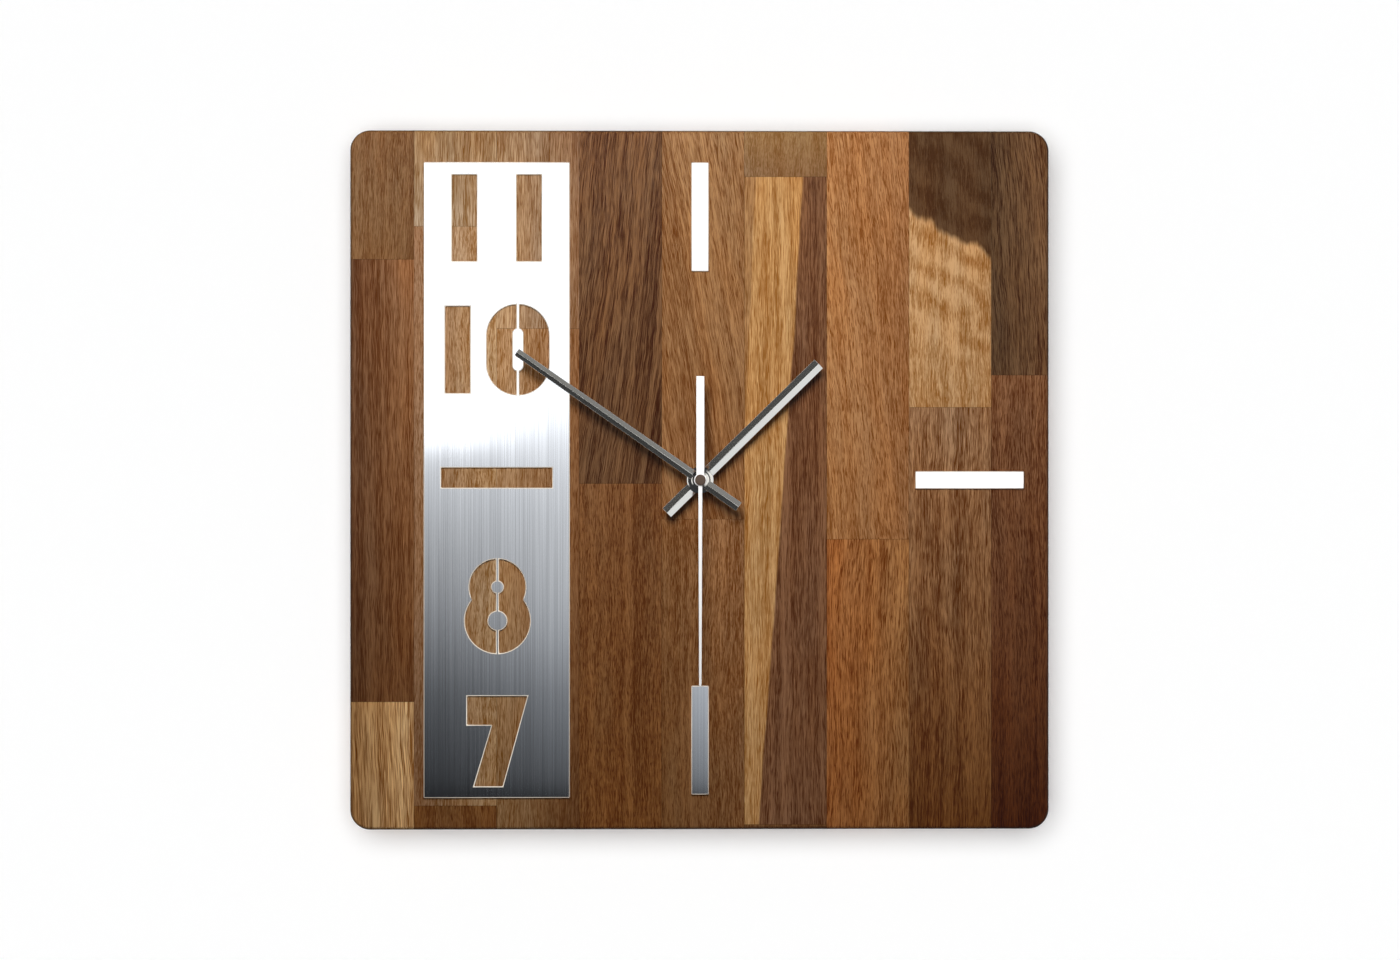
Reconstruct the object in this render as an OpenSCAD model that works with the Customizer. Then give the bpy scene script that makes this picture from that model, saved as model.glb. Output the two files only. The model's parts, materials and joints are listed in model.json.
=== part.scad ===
// Square wall clock: a board of glued wooden staves, a stencil-cut steel dial plate,
// three steel hour markers, folded metal hands and a battery quartz movement.
// Seen from the front, +X is right and +Z is up, and the front faces -Y. The origin is
// the centre of the keyhole of the hanger, in the plane of the back of the board.

/* [Board] */
// Width and height of the square board
board_size = 300; // [290:1:320]
// Thickness of the board
board_t = 20; // [19:0.5:28]
// Radius of the four corners, seen from the front
corner_r = 8.6; // [4:0.2:14]
// Radius along the front edge
front_edge_r = 1.5; // [0.6:0.1:3]
// Radius along the rear edge
rear_edge_r = 1; // [0.6:0.1:3]
// Width of one stave
stave_w = 35.4; // [34:0.1:36.5]
// How far the middle stave sits to the right of the centre
stave_shift = 1.3; // [0:0.1:3]
// Wood left in front of the movement
web_t = 4.5; // [3.5:0.1:5.5]
// Gap around the movement in its pocket
pocket_gap = 2; // [1:0.1:4]
// Corner radius of the pockets, left by the router bit
router_r = 4; // [2:0.5:6]

/* [Dial plate and markers] */
// Thickness of the steel
steel_t = 1; // [0.6:0.1:2]
// Width of the dial plate
plate_w = 62.7; // [58:0.1:68]
// Bare wood above and below the dial plate
plate_margin = 13.7; // [8:0.1:18]
// Bare wood to the left of the dial plate
plate_left = 31.5; // [20:0.1:36]
// Width of the stroke of the numerals 11 and 10
stroke_w = 10.7; // [8:0.1:12]
// Height of the numeral 11
eleven_h = 37.1; // [30:0.1:40]
// Distance between the two strokes of the numeral 11, centre to centre
eleven_pitch = 27.7; // [24:0.1:32]
// Steel between the numerals 11 and 7 and the ends of the plate
end_steel = 5.4; // [4:0.1:8]
// Width of the bridges that hold the islands of the numerals
bridge_w = 1.3; // [1:0.1:2]
// Length of the three separate markers
marker_len = 46.8; // [40:0.1:48]
// Width of the three separate markers
marker_w = 7.6; // [5:0.1:10]
// Bare wood below the 6 marker
six_margin = 15; // [8:0.1:20]
// Bare wood to the right of the 3 marker
three_margin = 10.8; // [6:0.1:16]

/* [Hands] */
// Hour hand, from the arbor to the tip
hour_len = 71; // [60:0.5:80]
// Minute hand, from the arbor to the tip
minute_len = 95.5; // [85:0.5:105]
// Tails of the hour and minute hands, from the arbor
tail_len = 20; // [14:0.5:26]
// Width of the hour hand
hour_w = 5.2; // [4:0.1:6.4]
// Width of the minute hand at its tail
minute_w = 4.3; // [3.6:0.1:5]
// Width of the minute hand at its tip
minute_tip_w = 3.3; // [2.6:0.1:3.6]
// Height of the fold along the middle of the hands
fold_h = 0.9; // [0.5:0.05:1.2]
// Thickness of the sheet of the hands
sheet_t = 0.4; // [0.3:0.05:0.6]
// Second hand, from the arbor to the tip
second_len = 88; // [80:0.5:100]
// Second hand, from the arbor to the end of its counterweight
second_tail = 44.3; // [36:0.5:52]
// Width of the counterweight of the second hand
second_tail_w = 3.4; // [2.6:0.1:4.2]
// Where the hour hand points, clockwise from 12
hour_angle = 45.6; // [0:0.1:360]
// Where the minute hand points, clockwise from 12
minute_angle = 304.9; // [0:0.1:360]
// Where the second hand points, clockwise from 12
second_angle = 180; // [0:0.1:360]

/* [Movement] */
// Width and height of the movement
case_size = 56; // [55:0.5:60]
// Depth of the movement
case_depth = 15; // [14.9:0.1:16]
// Thickness of the side walls of the case
case_wall = 1.2; // [0.8:0.1:1.4]
// Outer diameter of the threaded bush
bush_d = 8; // [7:0.1:9]
// Room along the battery for its two contacts
contact_room = 3.1; // [2.4:0.1:4]
// Room between the battery and the walls of its bay
battery_gap = 0.5; // [0.4:0.1:1]
// Diameter of the setting knob
knob_d = 14; // [10:0.5:16]
// Thickness of the setting knob
knob_t = 3.2; // [2:0.1:3.4]

/* [Hanging] */
// Middle of the keyhole below the top edge of the board
hanger_inset = 30; // [24:1:36]
// Diameter of the large hole of the keyhole
keyhole_d = 10; // [8:0.1:11]
// Width of the slot of the keyhole
slot_w = 5; // [4.2:0.1:6]
// How far the slot runs above the middle of the large hole
slot_rise = 9; // [7:0.5:12]
// Thickness of the hanger plate
hanger_t = 1.5; // [1:0.1:2.5]
// Depth behind the hanger plate for the head of the wall screw
head_room = 6; // [5:0.5:8]
// Thickness of the pads that rest on the wall
pad_t = 4; // [3.8:0.1:6]
// Diameter of the pads
pad_d = 12; // [8:0.5:16]
// Middle of the pads from the edges of the board
pad_inset = 24; // [16:1:40]

/* [Hidden] */
$fn = 96;
eps = 0.01;
half = board_size / 2;
front_y = -board_t;
arbor_z = hanger_inset - half;

// Height of the top stave in each of the nine columns
TOP_STAVES = [55.4, 41.2, 85, 151.5, 166.8, 19.8, 175.4, 118.8, 104.9];
// Height of the bottom stave in each column of three, and 0 in a column of two
BOTTOM_STAVES = [54.9, 10.3, 0, 0, 0, 2.1, 0, 0, 0];
COLUMN_NAMES = "abcdefghi";
last_column = len(TOP_STAVES) - 1;
// Tones of the staves, column by column from the top down
TONES = [
    ["#80593a", "#6a4429", "#8f6a43"],
    ["#a5825f", "#8a5a38", "#5a381c"],
    ["#a27e5e", "#856548"],
    ["#67462e", "#664022"],
    ["#8d633f", "#6f4b2d"],
    ["#916a46", "#825a38", "#4f4136"],
    ["#9c683f", "#7f4f29"],
    ["#906b47", "#6d482c"],
    ["#5f432c", "#593520"],
];

function stave_count(c) = BOTTOM_STAVES[c] > 0 ? 3 : 2;
function joint_x(k) = stave_shift + (k - len(TOP_STAVES) / 2) * stave_w;
function stave_left(c) = c == 0 ? -half : joint_x(c);
function stave_right(c) = c == last_column ? half : joint_x(c + 1);
function stave_top(c, row) =
    row == 0 ? half : row == 1 ? half - TOP_STAVES[c] : BOTTOM_STAVES[c] - half;
function stave_bottom(c, row) = row == stave_count(c) - 1 ? -half : stave_top(c, row + 1);
function stave_name(c, row) =
    str("stave_", COLUMN_NAMES[c], row == 0 ? "_top" : row == stave_count(c) - 1 ? "_bottom" : "_middle");

// Depths in the movement are counted backwards from the front of its case
gasket_t = 0.5;
front_wall = 1.8;
bay_floor = 0.4;
cover_t = 1.2;
wheel_t = 0.8;
layer_gap = 0.5;
case_y = front_y + web_t + gasket_t;
board_front = -web_t - gasket_t;
chamber = case_size / 2 - case_wall;
// The train and the motor are laid out for a case 56 wide, and follow the width of the case
case_scale = case_size / 56;
// Room below the arbor for the wheels and their bridge
train_room = 10.1 * case_scale;
cover_depth = case_depth - cover_t;
bridge_t = 0.8;
bridge_depth = cover_depth - bridge_t - 0.5;
function layer_depth(k) = front_wall + layer_gap + k * (wheel_t + layer_gap);

// Running fits, as clearance on the radius
pipe_fit = 0.08;
pivot_fit = 0.05;
seat_fit = 0.02;

// Nut, washer and the stack of the hands, as depths
washer_t = 0.4;
nut_t = 1.8;
nut_across = 9.5;
washer_d = 11;
bush_proud = 0.8;
collet_len = 1.2;
collet_wall = 0.55;
hand_gap = 0.3;
blade_gap = 1;
bush_end = board_front - washer_t - nut_t - bush_proud;
hour_disc = bush_end - hand_gap - collet_len;
minute_disc = hour_disc - sheet_t - fold_h - blade_gap;
second_disc = minute_disc - sheet_t - fold_h - blade_gap;
pipe_proud = 0.1;
hour_disc_r = 5.7;
minute_disc_r = 3.9;
second_disc_r = 2.7;
boss_r = 2.3;
boss_t = 0.8;
boss_tube_r = 0.9;

// Pipes on the arbor
seconds_r = 0.5;
pivot_r = 0.35;
cannon_r = 1.75;
cannon_bore = seconds_r + pivot_fit;
hour_bore = cannon_r + pipe_fit;
hour_r = 2.55;
bush_bore = hour_r + pipe_fit;
sleeve_r = 1.15;
flange_r = 6;
flange_t = 0.8;

// Wheels: teeth and modules, and the axes that follow from them
cannon_teeth = 12;
minute_teeth = 36;
minute_pinion_teeth = 10;
hour_teeth = 40;
centre_teeth = 64;
third_pinion_teeth = 8;
third_teeth = 60;
seconds_pinion_teeth = 8;
seconds_teeth = 60;
step_pinion_teeth = 10;
step_teeth = 60;
rotor_teeth = 12;
motion_module = 0.4 * case_scale;
centre_module = 0.25 * case_scale;
seconds_module = 0.27 * case_scale;
step_module = 0.2 * case_scale;
function spacing(module_size, a, b) = module_size * (a + b) / 2;
motion_spacing = spacing(motion_module, cannon_teeth, minute_teeth);
hour_module = 2 * motion_spacing / (hour_teeth + minute_pinion_teeth);
third_spacing = spacing(centre_module, centre_teeth, third_pinion_teeth);
third_module = 2 * third_spacing / (third_teeth + seconds_pinion_teeth);
step_spacing = spacing(seconds_module, seconds_teeth, step_pinion_teeth);
rotor_spacing = spacing(step_module, step_teeth, rotor_teeth);
minute_dir = 30;
setting_dir = 20;
third_dir = 150;
step_dir = 90;
rotor_dir = 135;
function toward(dir, distance) = distance * [cos(dir), sin(dir)];
minute_axis = toward(minute_dir, motion_spacing);
setting_axis = minute_axis + toward(setting_dir, motion_spacing);
third_axis = toward(third_dir, third_spacing);
step_axis = toward(step_dir, step_spacing);
rotor_axis = step_axis + toward(rotor_dir, rotor_spacing);

// Teeth: involute flanks at 20 degrees, with play shared by both wheels of a pair
pressure_angle = 20;
addendum = 0.8;
dedendum = 1.15;
tooth_play = 0.06;
pinion_relief = 0.7;

// Phase of a wheel whose gap meets a tooth of its partner, which lies in the direction dir
function meshed(teeth_a, phase_a, teeth_b, dir) =
    dir + 180 + ((dir - phase_a) * teeth_a / 360 + 0.5) * 360 / teeth_b;
minute_phase = meshed(cannon_teeth, 0, minute_teeth, minute_dir);
setting_phase = meshed(minute_teeth, minute_phase, cannon_teeth, setting_dir);
hour_phase = meshed(minute_pinion_teeth, minute_phase, hour_teeth, minute_dir + 180);
third_phase = meshed(seconds_pinion_teeth, 0, third_teeth, third_dir);
centre_phase = meshed(third_pinion_teeth, third_phase, centre_teeth, third_dir + 180);
step_phase = meshed(seconds_teeth, 0, step_pinion_teeth, step_dir);
rotor_phase = meshed(step_teeth, step_phase, rotor_teeth, rotor_dir);

// Posts of the case that carry the bridge, and those under the circuit board
post_r = 1.4;
pin_r = 0.7;
BRIDGE_POSTS = case_scale * [[-13, -7.5], [13, -7], [8.2, 16], [-20, 14]];
BRIDGE_OUTLINE = case_scale * [
    [-15.5, -7.5], [-13, -10], [13, -9.5], [15.5, -7], [10.9, 16.5], [9, 18.6], [-20, 17], [-22.4, 14],
];
PILLARS = case_scale * [[13.5, 23.5], [23.5, 16]];
pillar_r = 1.2;

// Motor: magnet, stator, core and coil
magnet_r = 2.8 * case_scale;
magnet_t = 2;
magnet_depth = layer_depth(6);
magnet_gap = 0.5;
stator_hole_r = magnet_r + magnet_gap;
stator_rim = 1;
lamination_t = 0.8;
stator_depth = magnet_depth + 0.6;
core_depth = stator_depth - lamination_t;
STATOR_X = case_scale * [-16.6, 6.3];
stator_foot = rotor_axis[1] - stator_hole_r - stator_rim;
stator_bar = rotor_axis[1] + stator_hole_r + stator_rim;
arm_w = 3;
core_h = 2;
core_pad_h = 4;
coil_flange_r = 2.9;
coil_room = 1;
coil_z = chamber - coil_flange_r - coil_room;
coil_flange_t = 0.8;
coil_r = 2.5;
coil_tube_r = 1.5;
coil_depth = core_depth + lamination_t / 2;
rivet_r = 0.6;

// Battery bay
divider_t = 1.2;
bay_half = chamber;
bay_top = -train_room - divider_t;
bay_z = (bay_top - chamber) / 2;
battery_len = 2 * bay_half - contact_room;
battery_d = bay_top + chamber - 2 * battery_gap;
battery_depth = bay_floor + battery_d / 2;
nub_r = 2.7;
nub_len = 1;
contact_t = 0.3;
dimple_t = 0.4;
battery_x = bay_half - contact_t - dimple_t;
contact_w = 8;
tab_w = 2.4;
tab_depth = core_depth;

// Circuit board
board_left = 10.5 * case_scale;
board_foot = 13 * case_scale;
card_t = 1;
card_depth = core_depth + 0.8;
card_right = chamber - contact_t;
chip_r = 2.5;
chip_t = 0.7;
crystal_r = 0.95;
crystal_len = 6;

// Setting arbor
setting_r = 1;
setting_pivot_r = 0.6;
knob_gap = 0.3;
knob_socket = 2.2;
knob_notches = 24;
notch_r = 0.5;

hanger_w = 38;
hanger_h = 30;
hanger_r = 3;
hanger_screw_x = 14;
screw_r = 1.5;
screw_len = 12;
screw_head_r = 3;
screw_head_t = 0.9;
head_gap = 1;
hanger_lift = slot_rise / 2;

// Digits, relative to the middle of the plate
plate_x = plate_left + plate_w / 2 - half;
plate_h = board_size - 2 * plate_margin;
eleven_z = plate_h / 2 - end_steel - eleven_h / 2;
ten_h = 37.3;
zero_w = 26.7;
zero_h = 38.8;
one_x = -16.75;
zero_x = 9.05;
zero_core_w = 4.9;
zero_core_h = 18.5;
nine_w = 47.6;
nine_h = 8.65;
nine_z = 1;
eight_upper_r = 12.06;
eight_lower_r = 14;
eight_pitch = 14.4;
eight_upper_core = 2.8;
eight_lower_core = 4.3;
eight_x = 0.3;
seven_h = 38.7;
seven_bar = 12.3;
seven_z = -plate_h / 2 + end_steel - 0.4;
ten_drop = 0.8;
ten_z = (eleven_z + nine_z) / 2 - ten_drop;
eight_lift = 1.4;
eight_z = (seven_z + seven_h / 2 + nine_z) / 2 + eight_lift;

STAVE_NODES = [for (c = [0:last_column]) for (row = [0:stave_count(c) - 1]) stave_name(c, row)];

// ---------- shared shapes ----------

// A solid of the given outline, seen from the front, between two depths
module layer(near, far) {
    translate([0, far, 0]) rotate([90, 0, 0]) linear_extrude(far - near) children();
}

module in_case() {
    translate([0, case_y, arbor_z]) children();
}

module on_board() {
    translate([0, 0, arbor_z]) children();
}

module rounded_rect(w, h, r) {
    square([w - 2 * r, h], center = true);
    square([w, h - 2 * r], center = true);
    for (x = [-1, 1]) for (z = [-1, 1]) translate([x * (w / 2 - r), z * (h / 2 - r)]) circle(r);
}

// A slot with round ends, upright
module stadium(w, h) {
    square([w, h - w], center = true);
    for (z = [-1, 1]) translate([0, z * (h - w) / 2]) circle(w / 2);
}

module disc_ring(r, bore) {
    difference() {
        circle(r);
        circle(bore);
    }
}

// ---------- wheels ----------

function involute(angle) = tan(angle) * 180 / PI - angle;
// Half of a tooth's width at radius q, in degrees
function tooth_half(q, pitch_r, teeth) =
    let (base_r = pitch_r * cos(pressure_angle))
    90 / teeth - tooth_play / (2 * pitch_r) * 180 / PI + involute(pressure_angle)
    - (q > base_r ? involute(acos(base_r / q)) : 0);

// Outline of a wheel; a tooth runs from the root by the pitch circle to the tip, and back
// again. The small pinions are cut in below the pitch circle, by the share relief.
module wheel_outline(teeth, module_size, phase, relief = 1) {
    pitch_r = teeth * module_size / 2;
    root_r = pitch_r - dedendum * module_size;
    flank_r = pitch_r - 0.4 * module_size;
    tip_r = pitch_r + addendum * module_size;
    flank = [
        [root_r, relief * tooth_half(root_r, pitch_r, teeth)],
        if (relief < 1) [flank_r, (1 + relief) / 2 * tooth_half(flank_r, pitch_r, teeth)],
        [pitch_r, tooth_half(pitch_r, pitch_r, teeth)],
        [tip_r, tooth_half(tip_r, pitch_r, teeth)],
    ];
    last = len(flank) - 1;
    polygon([
        for (k = [0:teeth - 1]) for (side = [-1, 1]) for (i = [0:last])
        let (p = flank[side < 0 ? i : last - i], a = phase + k * 360 / teeth + side * p[1])
        p[0] * [cos(a), sin(a)]
    ]);
}

// A large wheel with round openings in its web
module wheel(teeth, module_size, phase, near, openings = 5) {
    pitch_r = teeth * module_size / 2;
    opening_r = pitch_r * 0.2;
    layer(near, near + wheel_t) difference() {
        wheel_outline(teeth, module_size, phase);
        for (k = [0:openings - 1])
            rotate(phase + k * 360 / openings) translate([pitch_r * 0.6, 0]) circle(opening_r, $fn = 32);
    }
}

module pinion(teeth, module_size, phase, near, far) {
    layer(near, far) wheel_outline(teeth, module_size, phase, pinion_relief);
}

module arbor(r, near, far) {
    layer(near, far) circle(r);
}

module at(axis) {
    translate([axis[0], 0, axis[1]]) children();
}

// ---------- board ----------

// Section through the edge of the board, from its middle outwards
module edge_section(reach) {
    translate([0, front_y]) square([reach - front_edge_r, board_t]);
    translate([0, front_y + front_edge_r]) square([reach, board_t - front_edge_r - rear_edge_r]);
    translate([reach - front_edge_r, front_y + front_edge_r]) circle(front_edge_r);
    translate([0, front_y + front_edge_r]) square([reach - rear_edge_r, board_t - front_edge_r]);
    translate([reach - rear_edge_r, -rear_edge_r]) circle(rear_edge_r);
}

module board_section() {
    edge_section(half);
    mirror([1, 0]) edge_section(half);
}

// The whole board before it is divided into staves
module board_blank() {
    straight = board_size - 2 * corner_r;
    linear_extrude(straight, center = true) board_section();
    rotate([0, 90, 0]) linear_extrude(straight, center = true) board_section();
    for (k = [0:3]) rotate([0, 90 * k, 0])
        translate([straight / 2, 0, -straight / 2]) rotate([-90, 0, 0])
            rotate_extrude(angle = 90) intersection() {
                edge_section(corner_r);
                translate([0, front_y]) square([corner_r, board_t]);
            }
}

module board_cuts() {
    pocket = case_size + 2 * pocket_gap;
    layer(front_y + web_t, eps) rounded_rect(pocket, pocket, router_r);
    layer(front_y - eps, eps) circle(bush_d / 2 + pipe_fit);
    translate([0, 0, -arbor_z]) hanger_recess();
}

module hanger_recess() {
    at([0, hanger_lift]) layer(-hanger_t, eps)
        rounded_rect(hanger_w + 2 * seat_fit, hanger_h + 2 * seat_fit, hanger_r);
    at([0, slot_rise / 2]) layer(-hanger_t - head_room, eps)
        stadium(keyhole_d + 2 * head_gap, keyhole_d + 2 * head_gap + slot_rise);
    for (x = [-1, 1]) at([x * hanger_screw_x, hanger_lift])
        layer(-screw_len - seat_fit, eps) circle(screw_r + seat_fit, $fn = 32);
}

module stave(c, row) {
    left = stave_left(c);
    top = stave_top(c, row);
    w = stave_right(c) - left;
    h = top - stave_bottom(c, row);
    color(TONES[c][row]) on_board() difference() {
        intersection() {
            board_blank();
            translate([left, front_y - eps, top - h]) cube([w, board_t + 2 * eps, h]);
        }
        board_cuts();
    }
}

// ---------- steel on the front ----------

module on_front() {
    on_board() layer(front_y - steel_t, front_y) children();
}

module eleven() {
    for (x = [-1, 1]) translate([x * eleven_pitch / 2, 0]) square([stroke_w, eleven_h], center = true);
}

module ten() {
    translate([one_x, 0]) square([stroke_w, ten_h], center = true);
    translate([zero_x, 0]) difference() {
        stadium(zero_w, zero_h);
        stadium(zero_core_w, zero_core_h);
        square([bridge_w, zero_h + 2], center = true);
    }
}

module eight() {
    upper = eight_pitch / 2 + (eight_lower_r - eight_upper_r) / 2;
    translate([eight_x, 0]) difference() {
        union() {
            translate([0, upper]) circle(eight_upper_r);
            translate([0, upper - eight_pitch]) circle(eight_lower_r);
        }
        translate([0, upper]) circle(eight_upper_core);
        translate([0, upper - eight_pitch]) circle(eight_lower_core);
        square([bridge_w, 2 * (upper + eight_lower_r)], center = true);
    }
}

module seven() {
    polygon([
        [-12.7, seven_h], [13.1, seven_h], [2.5, 0], [-9.7, 0],
        [-1.8, seven_h - seven_bar], [-12.7, seven_h - seven_bar],
    ]);
}

module dial_plate() {
    color("#b9bdc2") on_front() translate([plate_x, 0]) difference() {
        square([plate_w, plate_h], center = true);
        translate([0, eleven_z]) eleven();
        translate([0, ten_z]) ten();
        translate([0, nine_z]) square([nine_w, nine_h], center = true);
        translate([0, eight_z]) eight();
        translate([0, seven_z]) seven();
    }
}

module marker_twelve() {
    color("#dfe2e5") on_front()
        translate([-marker_w / 2, half - plate_margin - marker_len]) square([marker_w, marker_len]);
}

module marker_three() {
    color("#dfe2e5") on_front()
        translate([half - three_margin - marker_len, -marker_w / 2]) square([marker_len, marker_w]);
}

module marker_six() {
    color("#9aa0a6") on_front()
        translate([-marker_w / 2, six_margin - half]) square([marker_w, marker_len]);
}

// ---------- hanging ----------

module hanger_plate() {
    color("#c4c7c9") layer(-hanger_t, 0) difference() {
        translate([0, hanger_lift]) rounded_rect(hanger_w, hanger_h, hanger_r);
        circle(keyhole_d / 2);
        translate([0, slot_rise / 2]) stadium(slot_w, slot_rise + slot_w);
        for (x = [-1, 1]) translate([x * hanger_screw_x, hanger_lift]) circle(screw_r + seat_fit, $fn = 32);
    }
}

module hanger_screws() {
    color("#a9a294") for (x = [-1, 1]) at([x * hanger_screw_x, hanger_lift]) {
        layer(-screw_len, 0) circle(screw_r, $fn = 32);
        difference() {
            rotate([-90, 0, 0]) cylinder(h = screw_head_t, r1 = screw_head_r, r2 = screw_head_r * 0.75, $fn = 48);
            for (turn = [0, 90]) rotate([0, turn, 0])
                translate([-screw_head_r * 0.6, screw_head_t / 2, -0.35]) cube([screw_head_r * 1.2, screw_head_t, 0.7]);
        }
    }
}

module wall_pads() {
    reach = half - pad_inset;
    color("#3c3a38") on_board() for (x = [-1, 1]) for (z = [-1, 1])
        at([x * reach, z * reach]) layer(0, pad_t) circle(pad_d / 2);
}

// ---------- fixing of the movement ----------

module mounting_bush() {
    color("#c9a24a") in_case() {
        layer(bush_end, front_wall) disc_ring(bush_d / 2, bush_bore);
        layer(front_wall - flange_t, front_wall) disc_ring(flange_r, bush_bore);
    }
}

module case_gasket() {
    color("#222222") in_case() layer(-gasket_t, 0)
        disc_ring(flange_r + 4, bush_d / 2 + seat_fit);
}

module dial_washer() {
    color("#c9a24a") in_case() layer(board_front - washer_t, board_front)
        disc_ring(washer_d / 2, bush_d / 2 + seat_fit);
}

module dial_nut() {
    seat = board_front - washer_t;
    color("#c9a24a") in_case() layer(seat - nut_t, seat) difference() {
        circle(nut_across / 2 / cos(30), $fn = 6);
        circle(bush_d / 2 + seat_fit);
    }
}

// ---------- case of the movement ----------

module chamber_outline(play = 0) {
    low = bay_top + divider_t + play;
    translate([-chamber + play, low]) square([2 * (chamber - play), chamber - play - low]);
}

module movement_case() {
    color("#2b2d30") in_case() {
        difference() {
            layer(0, case_depth) rounded_rect(case_size, case_size, 2);
            layer(front_wall, case_depth + eps) chamber_outline();
            layer(bay_floor, case_depth + eps)
                translate([-bay_half, -chamber]) square([2 * bay_half, bay_top + chamber]);
            layer(-eps, front_wall + eps) circle(bush_d / 2 + seat_fit);
            layer(front_wall - flange_t, front_wall + eps) circle(flange_r + seat_fit);
            for (axis = [minute_axis, third_axis, step_axis, rotor_axis])
                at(axis) layer(front_wall - 1, front_wall + eps) circle(pivot_r + pivot_fit, $fn = 32);
            at(setting_axis) layer(front_wall - 1, front_wall + eps)
                circle(setting_pivot_r + pivot_fit, $fn = 32);
            for (x = [-1, 1]) at([x * (chamber - contact_t / 2), bay_top + divider_t / 2])
                layer(tab_depth - seat_fit, case_depth + eps)
                    square([contact_t + 2 * seat_fit, divider_t + 2 * eps], center = true);
        }
        for (axis = BRIDGE_POSTS) at(axis) {
            layer(front_wall, bridge_depth) circle(post_r);
            layer(bridge_depth, cover_depth) circle(pin_r, $fn = 32);
        }
        for (axis = PILLARS) at(axis) layer(front_wall, card_depth) circle(pillar_r);
        for (x = core_ends()) at([x, coil_z]) {
            layer(front_wall, core_depth) circle(pillar_r);
            layer(core_depth, stator_depth + lamination_t) circle(rivet_r, $fn = 32);
        }
    }
}

module movement_cover() {
    color("#2b2d30") in_case() layer(cover_depth, case_depth) difference() {
        chamber_outline(pivot_fit);
        translate(setting_axis) circle(setting_r + pivot_fit);
        for (k = [0:6]) translate(case_scale * [2.6 * k - 17, 20]) square(case_scale * [1.2, 5]);
    }
}

module train_bridge() {
    color("#e8e4d8") in_case() layer(bridge_depth, bridge_depth + bridge_t) difference() {
        polygon(BRIDGE_OUTLINE);
        for (axis = BRIDGE_POSTS) translate(axis) circle(pin_r + seat_fit, $fn = 32);
        for (axis = [[0, 0], minute_axis, third_axis, step_axis, rotor_axis])
            translate(axis) circle(pivot_r + pivot_fit, $fn = 32);
    }
}

// ---------- battery, contacts and electronics ----------

module battery() {
    body_len = battery_len - nub_len;
    color("#b87333") in_case() translate([battery_x, battery_depth, bay_z]) rotate([0, -90, 0]) {
        cylinder(h = nub_len, r = nub_r);
        translate([0, 0, nub_len]) cylinder(h = body_len, r = battery_d / 2);
    }
}

module battery_plate() {
    color("#d4d4cc") in_case() translate([bay_half - contact_t, 0, 0]) {
        translate([0, battery_depth - contact_w / 2, bay_z - contact_w / 2])
            cube([contact_t, contact_w, contact_w]);
        translate([0, tab_depth, bay_z - tab_w])
            cube([contact_t, tab_w, board_foot + tab_w + tab_w - bay_z]);
        translate([-dimple_t, battery_depth, bay_z]) rotate([0, 90, 0]) cylinder(h = dimple_t, r = 1.6);
    }
}

// The minus contact: a bowed leaf, and a strip along the walls to the circuit board
module battery_spring() {
    reach = 2 * bay_half - contact_t - dimple_t - battery_len;
    bow = contact_w / 2 - 0.6;
    color("#d4d4cc") in_case() {
        translate([-bay_half, 0, 0]) {
            translate([0, battery_depth - contact_w / 2, bay_z - contact_w / 2])
                cube([contact_t, contact_w, contact_w]);
            translate([0, tab_depth, bay_z - tab_w])
                cube([contact_t, tab_w, chamber - bay_z + tab_w]);
            translate([0, tab_depth, chamber - contact_t])
                cube([chamber + board_left + tab_w, tab_w, contact_t]);
            translate([0, battery_depth + 1.5, bay_z]) rotate([90, 0, 0]) linear_extrude(3) polygon([
                [contact_t, -bow], [reach, -0.8], [reach, 0.8], [contact_t, bow],
                [contact_t, bow - 0.4], [reach - contact_t, 0.6],
                [reach - contact_t, -0.6], [contact_t, 0.4 - bow],
            ]);
        }
    }
}

module circuit_board() {
    top = chamber - contact_t;
    color("#3f6b3a") in_case() {
        layer(card_depth, card_depth + card_t)
            translate([board_left, board_foot]) square([card_right - board_left, top - board_foot]);
        at([board_left + 4.5, board_foot + 6]) layer(card_depth + card_t, card_depth + card_t + chip_t)
            circle(chip_r);
    }
}

module quartz_crystal() {
    color("#cfd3d6") in_case()
        translate([card_right - 5, card_depth + card_t + crystal_r, board_foot + 4]) {
            cylinder(h = crystal_len, r = crystal_r);
            for (x = [-0.4, 0.4]) translate([x, 0, -2]) cylinder(h = 2, r = 0.15, $fn = 24);
        }
}

function core_ends() = [STATOR_X[0] + arm_w / 2, STATOR_X[1] - arm_w / 2];

module stator() {
    bar_w = STATOR_X[1] - STATOR_X[0];
    color("#8f9499") in_case() layer(stator_depth, stator_depth + lamination_t) difference() {
        union() {
            translate([STATOR_X[0], stator_foot]) square([bar_w, stator_bar - stator_foot]);
            for (x = core_ends()) translate([x - arm_w / 2, stator_bar])
                square([arm_w, coil_z + core_pad_h / 2 - stator_bar]);
        }
        translate(rotor_axis) circle(stator_hole_r);
        for (turn = [60, 240]) translate(rotor_axis + toward(turn, stator_hole_r)) circle(0.35, $fn = 24);
        for (x = core_ends()) translate([x, coil_z]) circle(rivet_r + seat_fit, $fn = 32);
    }
}

module coil_core() {
    ends = core_ends();
    color("#8f9499") in_case() layer(core_depth, core_depth + lamination_t) difference() {
        union() {
            translate([ends[0], coil_z - core_h / 2]) square([ends[1] - ends[0], core_h]);
            for (x = ends) translate([x, coil_z]) square([arm_w, core_pad_h], center = true);
        }
        for (x = ends) translate([x, coil_z]) circle(rivet_r + seat_fit, $fn = 32);
    }
}

// A tube or flange of the coil, between two places along its axis
module coil_ring(from, to, r) {
    translate([from, coil_depth, coil_z]) rotate([0, 90, 0]) cylinder(h = to - from, r = r);
}

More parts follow.
